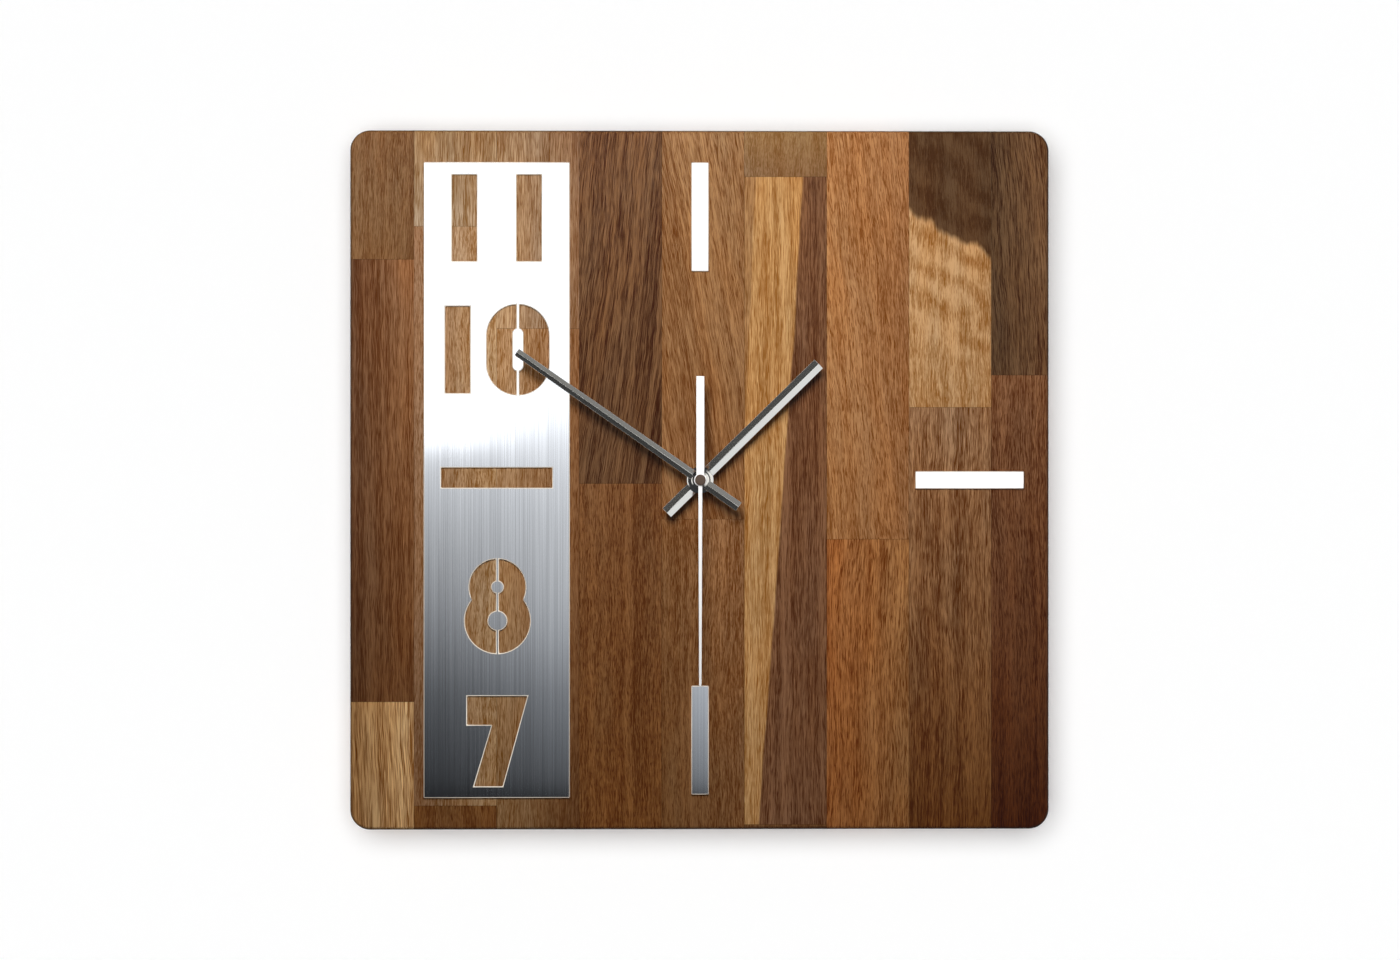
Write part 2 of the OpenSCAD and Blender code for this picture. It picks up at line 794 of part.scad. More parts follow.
function coil_ends() = [core_ends()[0] + arm_w / 2 + 0.2, core_ends()[1] - arm_w / 2 - 0.2];

module coil_bobbin() {
    ends = coil_ends();
    color("#e8e4d8") in_case() difference() {
        union() {
            coil_ring(ends[0], ends[1], coil_tube_r);
            coil_ring(ends[0], ends[0] + coil_flange_t, coil_flange_r);
            coil_ring(ends[1] - coil_flange_t, ends[1], coil_flange_r);
        }
        layer(core_depth - seat_fit, core_depth + lamination_t + seat_fit)
            translate([ends[0] - 1, coil_z - core_h / 2 - seat_fit])
                square([ends[1] - ends[0] + 2, core_h + 2 * seat_fit]);
    }
}

module coil_winding() {
    ends = coil_ends();
    color("#b5562b") in_case() difference() {
        coil_ring(ends[0] + coil_flange_t, ends[1] - coil_flange_t, coil_r);
        coil_ring(ends[0], ends[1], coil_tube_r);
    }
}

// ---------- wheel train ----------

pivot_front = front_wall - 0.8;
pivot_rear = bridge_depth + bridge_t - 0.2;

module rotor_magnet() {
    color("#55585c") in_case() at(rotor_axis)
        layer(magnet_depth, magnet_depth + magnet_t) disc_ring(magnet_r, seconds_r + seat_fit);
}

module rotor_pinion() {
    gear = layer_depth(5);
    color("#e8e4d8") in_case() at(rotor_axis) {
        arbor(pivot_r, pivot_front, pivot_rear);
        pinion(rotor_teeth, step_module, rotor_phase, gear - 0.1, gear + wheel_t + 0.2);
        arbor(0.8, gear + wheel_t + 0.2, magnet_depth);
        arbor(seconds_r, magnet_depth, magnet_depth + magnet_t);
    }
}

module step_wheel() {
    color("#e8e4d8") in_case() at(step_axis) {
        arbor(pivot_r, pivot_front, pivot_rear);
        pinion(step_pinion_teeth, seconds_module, step_phase, layer_depth(4) - 0.1, layer_depth(5));
        wheel(step_teeth, step_module, step_phase, layer_depth(5));
    }
}

module third_wheel() {
    color("#e8e4d8") in_case() at(third_axis) {
        arbor(pivot_r, pivot_front, pivot_rear);
        pinion(third_pinion_teeth, centre_module, third_phase, layer_depth(2) - 0.2, layer_depth(3));
        wheel(third_teeth, third_module, third_phase, layer_depth(3));
    }
}

module centre_wheel() {
    near = layer_depth(2);
    bore = sleeve_r + pivot_fit;
    color("#e8e4d8") in_case() difference() {
        union() {
            wheel(centre_teeth, centre_module, centre_phase, near);
            layer(near - 0.2, near + wheel_t + 0.2) circle(2);
        }
        layer(near - 1, near + wheel_t + 1) circle(bore);
    }
}

module seconds_arbor() {
    gear = layer_depth(4);
    color("#cfd3d6") in_case() {
        arbor(seconds_r, second_disc - sheet_t - 0.2, bridge_depth - 0.3);
        arbor(pivot_r, bridge_depth - 0.3, pivot_rear);
        pinion(seconds_pinion_teeth, third_module, 0, layer_depth(3) - 0.1, gear);
        wheel(seconds_teeth, seconds_module, 0, gear);
    }
}

module cannon_pinion() {
    gear = layer_depth(1);
    color("#c9a24a") in_case() difference() {
        union() {
            layer(minute_disc - sheet_t - pipe_proud, gear) circle(cannon_r);
            pinion(cannon_teeth, motion_module, 0, gear, gear + wheel_t);
            layer(gear + wheel_t, layer_depth(3) - 0.2) circle(sleeve_r);
        }
        layer(minute_disc - 5, layer_depth(3)) circle(cannon_bore);
    }
}

module minute_wheel() {
    color("#e8e4d8") in_case() at(minute_axis) {
        arbor(pivot_r, pivot_front, pivot_rear);
        pinion(minute_pinion_teeth, hour_module, minute_phase, layer_depth(0) - 0.1, layer_depth(1));
        wheel(minute_teeth, motion_module, minute_phase, layer_depth(1));
    }
}

module hour_wheel() {
    gear = layer_depth(0);
    color("#e8e4d8") in_case() difference() {
        union() {
            layer(hour_disc - sheet_t - pipe_proud, gear) circle(hour_r);
            wheel(hour_teeth, hour_module, hour_phase, gear);
        }
        layer(hour_disc - 5, gear + wheel_t + 1) circle(hour_bore);
    }
}

module setting_arbor() {
    gear = layer_depth(1);
    color("#e8e4d8") in_case() at(setting_axis) {
        arbor(setting_pivot_r, pivot_front, front_wall + 0.2);
        arbor(setting_r, front_wall + 0.2, case_depth + knob_gap + knob_socket);
        pinion(cannon_teeth, motion_module, setting_phase, gear - 0.1, gear + wheel_t + 0.1);
    }
}

module setting_knob() {
    near = case_depth + knob_gap;
    color("#d9d9d4") in_case() at(setting_axis) difference() {
        layer(near, near + knob_t) difference() {
            circle(knob_d / 2);
            for (k = [0:knob_notches - 1]) rotate(k * 360 / knob_notches)
                translate([knob_d / 2 + notch_r * 0.4, 0]) circle(notch_r, $fn = 24);
        }
        layer(near - eps, near + knob_socket) circle(setting_r + seat_fit);
        layer(near + knob_t - 0.6, near + knob_t + eps) disc_ring(knob_d / 2 - 1.2, knob_d / 4);
    }
}

// ---------- hands ----------

// Turns a hand clockwise from 12
module pointing(angle) {
    in_case() rotate([0, angle, 0]) children();
}

// Sheet folded along the middle, pointing up from below z = from to z = to
module folded_sheet(width, from, to) {
    translate([0, 0, from]) linear_extrude(to - from) polygon([
        [-width / 2, 0], [-width / 2, -sheet_t], [0, -sheet_t - fold_h],
        [width / 2, -sheet_t], [width / 2, 0], [0, -fold_h],
    ]);
}

// A hand with a flat disc at the arbor, folded beyond it, on a collet that grips the pipe
module folded_hand(length, tail, width, tip_width, disc_r, pipe_r) {
    inner = disc_r - 0.5;
    outline = [[-width / 2, -tail], [width / 2, -tail], [tip_width / 2, length], [-tip_width / 2, length]];
    difference() {
        union() {
            intersection() {
                union() {
                    folded_sheet(width, inner, length);
                    folded_sheet(width, -tail, -inner);
                }
                layer(-5, 5) polygon(outline);
            }
            layer(-sheet_t, 0) circle(disc_r);
            layer(0, collet_len) circle(pipe_r + collet_wall);
        }
        layer(-5, 5) circle(pipe_r + seat_fit);
    }
}

module hour_hand() {
    color("#c6cacc") pointing(hour_angle) translate([0, hour_disc, 0])
        folded_hand(hour_len, tail_len, hour_w, hour_w, hour_disc_r, hour_r);
}

module minute_hand() {
    color("#8a9092") pointing(minute_angle) translate([0, minute_disc, 0])
        folded_hand(minute_len, tail_len, minute_w, minute_tip_w, minute_disc_r, cannon_r);
}

module second_hand() {
    root_w = 1.75;
    tip_w = 1.1;
    color("#f2f2f0") pointing(second_angle) layer(second_disc - sheet_t, second_disc) difference() {
        union() {
            circle(second_disc_r);
            polygon([[-root_w / 2, 0], [root_w / 2, 0], [tip_w / 2, second_len], [-tip_w / 2, second_len]]);
            translate([-second_tail_w / 2, -second_tail]) square([second_tail_w, second_tail]);
        }
        circle(boss_tube_r + seat_fit);
    }
}

module second_boss() {
    face = second_disc - sheet_t;
    tube_end = second_disc + blade_gap - 0.2;
    color("#6b4f45") pointing(second_angle) difference() {
        union() {
            layer(face - boss_t, face) circle(boss_r);
            layer(face, tube_end) circle(boss_tube_r);
        }
        layer(face - 0.25, tube_end + eps) circle(seconds_r + seat_fit, $fn = 48);
    }
}

for (c = [0:last_column]) for (row = [0:stave_count(c) - 1])
    stave(c, row);
dial_plate();
marker_twelve();
marker_three();
marker_six();
hanger_plate();
hanger_screws();
wall_pads();
dial_washer();
dial_nut();
mounting_bush();
case_gasket();
movement_case();
movement_cover();
train_bridge();
battery();
battery_spring();
battery_plate();
circuit_board();
quartz_crystal();
stator();
coil_core();
coil_bobbin();
coil_winding();
rotor_magnet();
rotor_pinion();
step_wheel();
third_wheel();
centre_wheel();
seconds_arbor();
cannon_pinion();
minute_wheel();
hour_wheel();
setting_arbor();
setting_knob();
hour_hand();
minute_hand();
second_hand();
second_boss();
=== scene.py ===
"""A square wall clock: a board of glued wooden staves with a stencil-cut steel dial plate,
folded metal hands and a battery quartz movement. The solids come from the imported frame;
this add-on gives them their finish, makes the small turned and threaded pieces, and sets
the stage."""

import json
import math

import bmesh
import bpy
import numpy as np
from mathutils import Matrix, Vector

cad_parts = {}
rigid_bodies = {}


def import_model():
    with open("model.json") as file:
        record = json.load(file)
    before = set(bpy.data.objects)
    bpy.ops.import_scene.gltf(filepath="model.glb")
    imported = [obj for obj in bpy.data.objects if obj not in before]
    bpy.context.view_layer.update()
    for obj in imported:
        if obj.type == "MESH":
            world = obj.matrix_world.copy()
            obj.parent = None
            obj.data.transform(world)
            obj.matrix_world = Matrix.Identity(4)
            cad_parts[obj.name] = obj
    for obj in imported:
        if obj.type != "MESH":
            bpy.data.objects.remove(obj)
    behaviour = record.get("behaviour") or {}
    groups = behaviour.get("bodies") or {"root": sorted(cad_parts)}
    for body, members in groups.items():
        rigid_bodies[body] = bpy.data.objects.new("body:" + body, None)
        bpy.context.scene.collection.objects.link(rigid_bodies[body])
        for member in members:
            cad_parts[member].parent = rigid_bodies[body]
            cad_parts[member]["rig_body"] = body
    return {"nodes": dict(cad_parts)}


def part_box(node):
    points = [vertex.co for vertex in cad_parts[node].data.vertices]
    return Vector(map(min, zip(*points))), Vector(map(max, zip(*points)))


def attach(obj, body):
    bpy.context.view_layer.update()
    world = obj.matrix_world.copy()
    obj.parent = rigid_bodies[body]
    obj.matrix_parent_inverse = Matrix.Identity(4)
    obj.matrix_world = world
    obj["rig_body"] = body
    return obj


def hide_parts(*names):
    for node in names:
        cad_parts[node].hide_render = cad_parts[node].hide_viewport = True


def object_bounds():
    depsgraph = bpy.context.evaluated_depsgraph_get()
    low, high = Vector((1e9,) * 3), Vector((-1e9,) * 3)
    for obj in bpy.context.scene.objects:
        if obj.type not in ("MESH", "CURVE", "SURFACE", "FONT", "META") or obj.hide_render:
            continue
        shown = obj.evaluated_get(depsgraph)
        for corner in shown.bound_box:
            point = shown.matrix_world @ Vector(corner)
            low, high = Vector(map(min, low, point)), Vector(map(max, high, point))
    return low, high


bl_info = {
    "name": "Stave Wall Clock",
    "version": (1, 0, 0),
    "blender": (4, 5, 0),
    "location": "View3D > Sidebar > Clock",
    "description": "Finishes, turned pieces and studio for a wall clock made of wooden staves",
    "category": "Object",
}

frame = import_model()
NODES = frame["nodes"]
CAD_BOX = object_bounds()
CLOCK_MIDDLE = (CAD_BOX[0] + CAD_BOX[1]) / 2
BOARD_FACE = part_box("stave_a_top")[0].y
ARBOR = (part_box("centre_wheel")[0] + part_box("centre_wheel")[1]) / 2
MM = 0.001

# The wood of every stave, in mm: how far the grain sways and wavers from straight, how far
# aside and behind the pith of the log lies, and the width and length of the dark strokes, the
# pale flecks and the fine hairs. Then the wave of the curly figure, and how strong it is.
SWAY, WAVER = 9.0, 2.2
PITH_ASIDE, PITH_BEHIND = 70.0, 45.0
STROKE_WIDTH, STROKE_LENGTH = 0.36, 12.0
FLECK_WIDTH, FLECK_LENGTH = 0.32, 5.0
HAIR_WIDTH, HAIR_LENGTH = 0.22, 3.0
CURL_WAVE, CURL_STRENGTH = 17.0, 0.26

# Each stave has two tones, how far its grain swings from dark to light, how much of that is
# short dashes rather than long strokes, how far the grain leans to the right over its own
# length upwards, the width of its growth layers in mm, how much darker it grows from its top
# to its bottom, and how long its streaks are next to those of the settings. The second tone
# takes over the way that the last word says: down, across, strip or cap.
STAVES = {
    "stave_a_top": ("6b4724", "654220", 0.37, 0.4, 0.015, 3.2, 0.0, 0.8, "across"),
    "stave_a_middle": ("573418", "714621", 0.46, 0.5, -0.01, 2.8, 0.3, 1.5, "across"),
    "stave_a_bottom": ("895724", "b37f40", 0.59, 0.1, -0.04, 5.0, 0.0, 2.4, "across"),
    "stave_b_top": ("7e5b33", "8a6c47", 0.37, 0.5, 0.01, 3.0, -0.08, 1.6, "down"),
    "stave_b_middle": ("7a5432", "9a7447", 0.36, 0.5, 0.01, 3.4, 0.1, 0.7, "across"),
    "stave_b_bottom": ("6c421b", "6d421c", 0.4, 0.5, 0.0, 3.0, 0.0, 0.8, "down"),
    "stave_c_top": ("8b683f", "75512f", 0.42, 0.6, 0.02, 3.6, -0.26, 1.5, "across"),
    "stave_c_bottom": ("926b40", "6b4321", 0.35, 0.6, 0.015, 3.2, 0.36, 1.0, "across"),
    "stave_d_top": ("522e0f", "4f2e11", 0.68, 0.15, 0.12, 3.0, 0.0, 1.5, "down"),
    "stave_d_bottom": ("683e1a", "6f4118", 0.48, 0.6, 0.0, 3.0, 0.0, 0.8, "down"),
    "stave_e_top": ("794f25", "7a4e25", 0.46, 0.6, -0.16, 2.6, 0.0, 1.4, "down"),
    "stave_e_bottom": ("6e451f", "7c5028", 0.42, 0.5, -0.01, 2.6, 0.25, 0.7, "across"),
    "stave_f_top": ("7b5a33", "705030", 0.24, 0.4, 0.0, 5.0, 0.0, 0.5, "down"),
    "stave_f_middle": ("a6763f", "633b1b", 0.35, 0.3, 0.0, 3.2, -0.3, 1.3, "strip"),
    "stave_f_bottom": ("734922", "5f3b1e", 0.4, 0.5, 0.0, 3.0, 0.0, 0.8, "down"),
    "stave_g_top": ("936030", "86552a", 0.4, 0.9, -0.09, 2.4, 0.0, 1.0, "across"),
    "stave_g_bottom": ("8c4e1d", "895524", 0.53, 0.8, 0.02, 2.8, 0.1, 1.3, "across"),
    "stave_h_top": ("492e15", "a47745", 0.33, 0.2, -0.02, 3.4, 0.0, 0.7, "cap"),
    "stave_h_bottom": ("83562b", "693910", 0.55, 0.3, 0.01, 4.2, 0.08, 1.2, "down"),
    "stave_i_top": ("43280e", "5b3615", 0.66, 0.0, -0.05, 4.0, 0.0, 1.1, "across"),
    "stave_i_bottom": ("6d411d", "4e2005", 0.55, 0.6, 0.0, 3.2, 0.24, 1.0, "down"),
}

# The metals of the movement: colour, roughness, spacing and length of the brush lines in mm,
# the axis that they run along, how strongly they shade the metal, and the nodes made of it.
MOVEMENT_METALS = {
    "arbor_steel": ("c9cbcd", 0.2, 0.1, 2.0, 1, 0.05, ("seconds_arbor",)),
    "cannon_brass": ("c8a258", 0.25, 0.1, 2.0, 1, 0.06, ("cannon_pinion",)),
    "contact_nickel": (
        "d9d8d0", 0.28, 0.4, 6.0, 0, 0.08, ("battery_spring", "battery_plate", "quartz_crystal")
    ),
    "soft_iron": ("8f9296", 0.42, 0.5, 8.0, 0, 0.12, ("stator", "coil_core")),
}
# The nodes that are moulded in the same plastic as the wheels.
ACETAL_NODES = (
    "train_bridge", "coil_bobbin", "rotor_pinion", "step_wheel", "third_wheel",
    "centre_wheel", "minute_wheel", "hour_wheel", "setting_arbor",
)

# How bright the front of the studio is below its panel: pairs of place and grey, from 5.5
# degrees under the horizon, place 0, to half a degree over it, place 1.
FALL_LOW, FALL_SPAN = 5.5, 6.0
FALL_STOPS = [
    (0.045, 0.006), (0.1, 0.036), (0.22, 0.057), (0.34, 0.086), (0.43, 0.138), (0.54, 0.218),
    (0.66, 0.31), (0.78, 0.41), (0.9, 0.54), (0.95, 0.6), (1.0, 0.72),
]


def colour(text):
    """The colour that a hex code names, as linear red, green and blue with a full alpha."""
    code = np.array([int(text[i : i + 2], 16) for i in (0, 2, 4)]) / 255
    linear = np.where(code > 0.04045, ((code + 0.055) / 1.055) ** 2.4, code / 12.92)
    return (*linear.tolist(), 1.0)


# ---------- settings ----------


def length(name, description, default):
    """A property for a length in metres."""
    return bpy.props.FloatProperty(
        name=name, description=description, default=default, min=0.0, unit="LENGTH", precision=5
    )


def power(name, description, default):
    """A property for the power of a lamp."""
    return bpy.props.FloatProperty(
        name=name, description=description, default=default, min=0.0, unit="POWER"
    )


def arc(name, description, degrees):
    """A property for an angle, given in degrees."""
    return bpy.props.FloatProperty(
        name=name, description=description, default=math.radians(degrees), subtype="ANGLE"
    )


def strength(name, description, default):
    """A property for the strength of a distant light."""
    return bpy.props.FloatProperty(name=name, description=description, default=default, min=0.0)


def share(name, description, default):
    """A property for a number from 0 to 1."""
    return bpy.props.FloatProperty(
        name=name, description=description, default=default, min=0.0, max=1.0, subtype="FACTOR"
    )


def tint(name, description, code):
    """A property for a colour."""
    shown = colour(code)[:3]
    return bpy.props.FloatVectorProperty(
        name=name, description=description, default=shown, min=0.0, max=1.0, size=3, subtype="COLOR"
    )


class WoodSettings(bpy.types.PropertyGroup):
    """How the staves are finished."""

    fibre_width: length("Fibre width", "Width of one streak of fibres, across the grain", 0.00031)
    fibre_length: length("Fibre length", "Length of one streak of fibres, along the grain", 0.0085)
    pore_width: length("Pore width", "Width of an open pore, across the grain", 0.0003)
    pore_length: length("Pore length", "Length of an open pore, along the grain", 0.0038)
    pore_depth: length("Pore depth", "Depth of the pores under the oiled surface", 0.000035)
    glue_line: length("Glue line", "Width of the darker line where two staves meet", 0.00022)
    polish: share("Roughness", "Roughness of the oiled wood", 0.27)


class SteelSettings(bpy.types.PropertyGroup):
    """How the dial plate, the markers and the hardware are finished."""

    steel: tint("Steel", "Colour of the brushed steel", "e2e6ec")
    plate_roughness: share("Plate roughness", "Roughness of the plate along its brushing", 0.055)
    brushing: length("Brush lines", "Spacing of the brush lines", 0.00034)
    cut_edge: length("Cut edge", "Width of the bright chamfer along each cut edge", 0.00038)
    # the cut edges' cream colour, brighter than the steel, is a painted highlight
    burr: tint("Cut edge colour", "Colour of the chamfer left by the cutting", "faf2e4")
    zinc: tint("Zinc", "Colour of the plated hanger", "c9ccce")
    yellow_zinc: tint("Yellow zinc", "Colour of the yellowish screws of the hanger", "c6bda6")
    brass: tint("Brass", "Colour of the bush, nut and washer", "c8a258")


class HandSettings(bpy.types.PropertyGroup):
    """How the hands are finished."""

    aluminium: tint("Aluminium", "Colour of the hour and minute hands", "e4e2db")
    satin: share("Roughness", "Roughness of the folded hands", 0.13)
    white: tint("Second hand", "Colour of the second hand", "f6f4f2")
    boss: tint("Boss", "Colour of the boss in the middle", "55453a")
    edge: length("Edge", "Width of the eased edges", 0.00012)


class MovementSettings(bpy.types.PropertyGroup):
    """How the movement behind the board is finished."""

    case: tint("Case", "Colour of the moulded case", "1d1f21")
    train: tint("Wheels", "Colour of the moulded wheels", "e6e2d6")
    sleeve: tint("Battery", "Colour of the battery's sleeve", "b06a2c")
    knob: tint("Knob", "Colour of the setting knob", "d8d8d2")
    thread_pitch: length("Thread pitch", "Pitch of the thread on the bush", 0.00075)
    ease: length("Ease", "Width of the eased edges of moulded pieces", 0.0003)


class StageSettings(bpy.types.PropertyGroup):
    """Camera, lights and backdrop."""

    distance: length("Distance", "Distance from the camera to the board", 1.5)
    view_width: length("View width", "Width of the view at the board", 0.6009)
    swing: arc("Swing", "How far the camera stands to the left", 0.9)
    wall_gap: length("Wall gap", "Gap between the wall and the pads", 0.0002)
    floor_drop: length("Floor drop", "Height of the clock's middle above the floor", 1.2)
    backdrop: tint("Backdrop", "Colour of the wall and the floor", "fefefe")
    key: power("Key", "Power of the key light", 2.9)
    key_size: length("Key size", "Width of the key light", 0.26)
    rear: power("Rear", "Power of the light behind the clock", 7.0)
    rear_size: length("Rear size", "Width of the light behind the clock", 1.2)
    wash: strength("Wash", "Strength of the light on the wall alone", 2.95)
    wash_spread: arc("Wash spread", "Angle over which the light on the wall is spread", 56.0)
    fill: share("Fill", "How much of the studio's light falls on matte surfaces in front", 0.06)
    rear_fill: share("Rear fill", "How much more of it falls on them from behind", 0.94)


# ---------- shader maths ----------


class Wire:
    """A value in a shader. An operator on it adds the Math node that works it out."""

    def __init__(self, graph, socket):
        self.graph, self.socket = graph, socket

    def math(self, operation, *values):
        """A Math node of this value and the others, in their order."""
        ins = dict(enumerate((self, *values)))
        return self.graph.add("Math", {"operation": operation}, ins)

    def flipped(self, operation, value):
        """A Math node of the other value first and this one second."""
        return self.graph.add("Math", {"operation": operation}, {0: value, 1: self})

    def __add__(self, value):
        return self.math("ADD", value)

    def __sub__(self, value):
        return self.math("SUBTRACT", value)

    def __mul__(self, value):
        return self.math("MULTIPLY", value)

    def __truediv__(self, value):
        return self.math("DIVIDE", value)

    def __pow__(self, value):
        return self.math("POWER", value)

    def __neg__(self):
        return self.math("MULTIPLY", -1.0)

    def __abs__(self):
        return self.math("ABSOLUTE")

    def __radd__(self, value):
        return self.flipped("ADD", value)

    def __rsub__(self, value):
        return self.flipped("SUBTRACT", value)

    def __rmul__(self, value):
        return self.flipped("MULTIPLY", value)

    def __rtruediv__(self, value):
        return self.flipped("DIVIDE", value)

    def __rpow__(self, value):
        return self.flipped("POWER", value)

    def clamped(self, low=0.0, high=1.0):
        """The value kept between low and high."""
        return self.math("MAXIMUM", low).math("MINIMUM", high)

    def rise(self, low, high):
        """A smooth step, 0 below low and 1 above high."""
        sockets = {"Value": self, "From Min": low, "From Max": high}
        return self.graph.add("MapRange", {"interpolation_type": "SMOOTHSTEP"}, sockets)


class Graph:
    """The nodes of one material, or of the world."""

    def __init__(self, tree):
        self.tree = tree
        tree.nodes.clear()

    def add(self, kind, settings=(), inputs=(), output=0):
        """Adds a node: its settings first, then the values or links of its sockets."""
        node = self.tree.nodes.new("ShaderNode" + kind)
        for key, value in dict(settings).items():
            if key == "stops":
                self.set_stops(node.color_ramp, value)
            else:
                setattr(node, key, value)
        for key, value in dict(inputs).items():
            if isinstance(value, Wire):
                self.tree.links.new(value.socket, node.inputs[key])
            else:
                node.inputs[key].default_value = value
        return Wire(self, node.outputs[output]) if len(node.outputs) else node

    @staticmethod
    def set_stops(ramp, stops):
        """Sets a ramp's stops from pairs of place and grey."""
        while len(ramp.elements) < len(stops):
            ramp.elements.new(1.0)
        for element, (place, grey) in zip(ramp.elements, stops):
            element.position = place
            element.color = (grey, grey, grey, 1.0)

    def split(self, vector):
        """The three parts of a vector."""
        parts = self.add("SeparateXYZ", inputs={0: vector})
        return [Wire(self, parts.socket.node.outputs[i]) for i in range(3)]

    def join(self, x, y, z):
        """A vector, or a colour, of three parts."""
        return self.add("CombineXYZ", inputs={0: x, 1: y, 2: z})

    def mix(self, factor, first, second, kind="MIX"):
        """A mix of two colours."""
        settings = {"data_type": "RGBA", "blend_type": kind}
        return self.add("Mix", settings, {0: factor, 6: first, 7: second}, output=2)

    def place(self, centre=(0.0, 0.0, 0.0)):
        """Where a point is, in millimetres from a centre given in metres."""
        spot = self.add("TexCoord", output="Object")
        shift = tuple(-c / MM for c in centre)
        ins = {"Vector": spot, "Location": shift, "Scale": (1 / MM,) * 3}
        return self.add("Mapping", inputs=ins)

    def noise(self, place, size, seed=0.0, detail=2.0, roughness=0.5):
        """Noise whose patches have the given size in millimetres along X, Y and Z."""
        shift, scale = (seed, 2 * seed, 3 * seed), tuple(1 / s for s in size)
        spot = self.add("Mapping", inputs={"Vector": place, "Location": shift, "Scale": scale})
        ins = {"Vector": spot, "Scale": 1.0, "Detail": detail, "Roughness": roughness}
        return self.add("TexNoise", {"noise_dimensions": "3D"}, ins, output="Fac")

    def bump(self, height, distance, strength=1.0):
        """A normal bent by a height from 0 to 1, which stands for a distance in metres."""
        ins = {"Height": height, "Distance": distance, "Strength": strength}
        return self.add("Bump", inputs=ins)

    def multiply(self, base, factor):
        """A colour times one factor, or times three, for red, green and blue."""
        factors = factor if isinstance(factor, (list, tuple)) else (factor,) * 3
        return self.mix(1.0, base, self.join(*factors), "MULTIPLY")

    def surface(self, inputs):
        """Ends a material with a Principled shader that has these inputs."""
        self.finish(self.add("BsdfPrincipled", inputs=inputs))

    def finish(self, shader):
        """Ends a material with a shader."""
        self.add("OutputMaterial", inputs={"Surface": shader})


def new_material(name):
    """A material and the graph of its nodes, with none in it yet."""
    material = bpy.data.materials.new(name)
    material.use_nodes = True
    return material, Graph(material.node_tree)


def dress(piece, material):
    """Gives every slot of a piece the material."""
    if not piece.data.materials:
        piece.data.materials.append(material)
    for i in range(len(piece.data.materials)):
        piece.data.materials[i] = material


# ---------- wood ----------


def grain_tones(code, spread):
    """The darkest and lightest colour of a grain. Blue falls and rises most, red least."""
    base = np.array(colour(code)[:3])
    reach = spread * np.array([1.0, 1.5, 2.6])
    dark, light = base * np.exp(-1.5 * reach), base * np.exp(reach)
    return (*dark.tolist(), 1.0), (*np.minimum(light, 1).tolist(), 1.0)


def second_tone(graph, kind, spot, half_w, half_h):
    """Where the second tone of a stave shows, from 0 to 1, given its half width and height.

    down and across go evenly over the stave. strip is sapwood between two bent edges, and
    cap is heartwood above a wavy edge."""
    x, _, z = graph.split(spot)
    down = (half_h - z) / (2 * half_h)
    if kind == "down":
        return down.clamped()
    if kind == "across":
        return ((x + half_w) / (2 * half_w)).clamped()
    waves = graph.noise(spot, (9.0, 40.0, 30.0), seed=4.0, detail=3.0) - 0.5
    if kind == "strip":
        edge = half_w * 0.44 - 17.0 * down - 2.4 * down * down
        right = (x + waves * 2.2 - edge).rise(-0.5, 0.5)
        left = 1.0 - (x + waves * 1.2 + half_w - 5.2 * (1.0 - down * 2.4).clamped()).rise(-0.9, 0.6)
        return right.math("MAXIMUM", left * 0.5)
    edge = half_h - 33.7 - (x + half_w) * 0.56
    return 1.0 - (z + waves * 15.0 - edge).rise(-2.0, 2.0)


def streaks(graph, grain, width, reach, seed, detail=1.0, roughness=0.5):
    """Noise drawn out along the grain, in streaks of the given width and length in mm."""
    return graph.noise(grain, (width, width, reach), seed, detail, roughness)


def growth_layers(graph, across, through, along, layer, seed):
    """Noise of the distance from a far pith, counted in layers of the given width."""
    aside = across + PITH_ASIDE + 13.0 * math.sin(seed * 5.0)
    behind = through - PITH_BEHIND
    ring = (aside * aside + behind * behind).math("SQRT") + along * 0.004
    ins = {"W": ring / layer + seed * 3.0, "Scale": 1.0, "Detail": 2.5, "Roughness": 0.62}
    return graph.add("TexNoise", {"noise_dimensions": "1D"}, ins)


def curly_figure(graph, spot, x, z, above_foot, seed):
    """A sine of the place along a slanted line, bent by slow noise, that fades out towards
    the foot of the stave."""
    bend = (graph.noise(spot, (20.0, 20.0, 26.0), seed, 2.0) - 0.5) * 36.0
    wave = (z + x * 0.62 + bend) * (2 * math.pi / CURL_WAVE)
    return wave.math("SINE") * CURL_STRENGTH * above_foot.rise(12.0, 34.0)


def edge_shade(graph, x, z, half_w, half_h, glue):
    """How much the wood's colour is darkened: along the glue line and on sawn ends, which are
    darker wood, and in the rounding of the board's edges, a painted shade by how far the surface
    turns from the front."""
    beside = abs(x).rise(half_w - glue, half_w - glue * 0.3)
    above = abs(z).rise(half_h - glue, half_h - glue * 0.3)
    joint = beside.math("MAXIMUM", above)
    _, outward, upward = graph.split(graph.add("NewGeometry", output="Normal"))
    # rim is a painted shade on the rounded edges of the board, by how far they turn from the front
    rim = (1.0 - abs(outward).rise(0.55, 0.97)) * abs(outward).rise(0.02, 0.3)
    end_grain = abs(upward).rise(0.5, 0.95)
    return (1.0 - joint * 0.35) * (1.0 - end_grain * 0.2) * (1.0 - rim * 0.5)


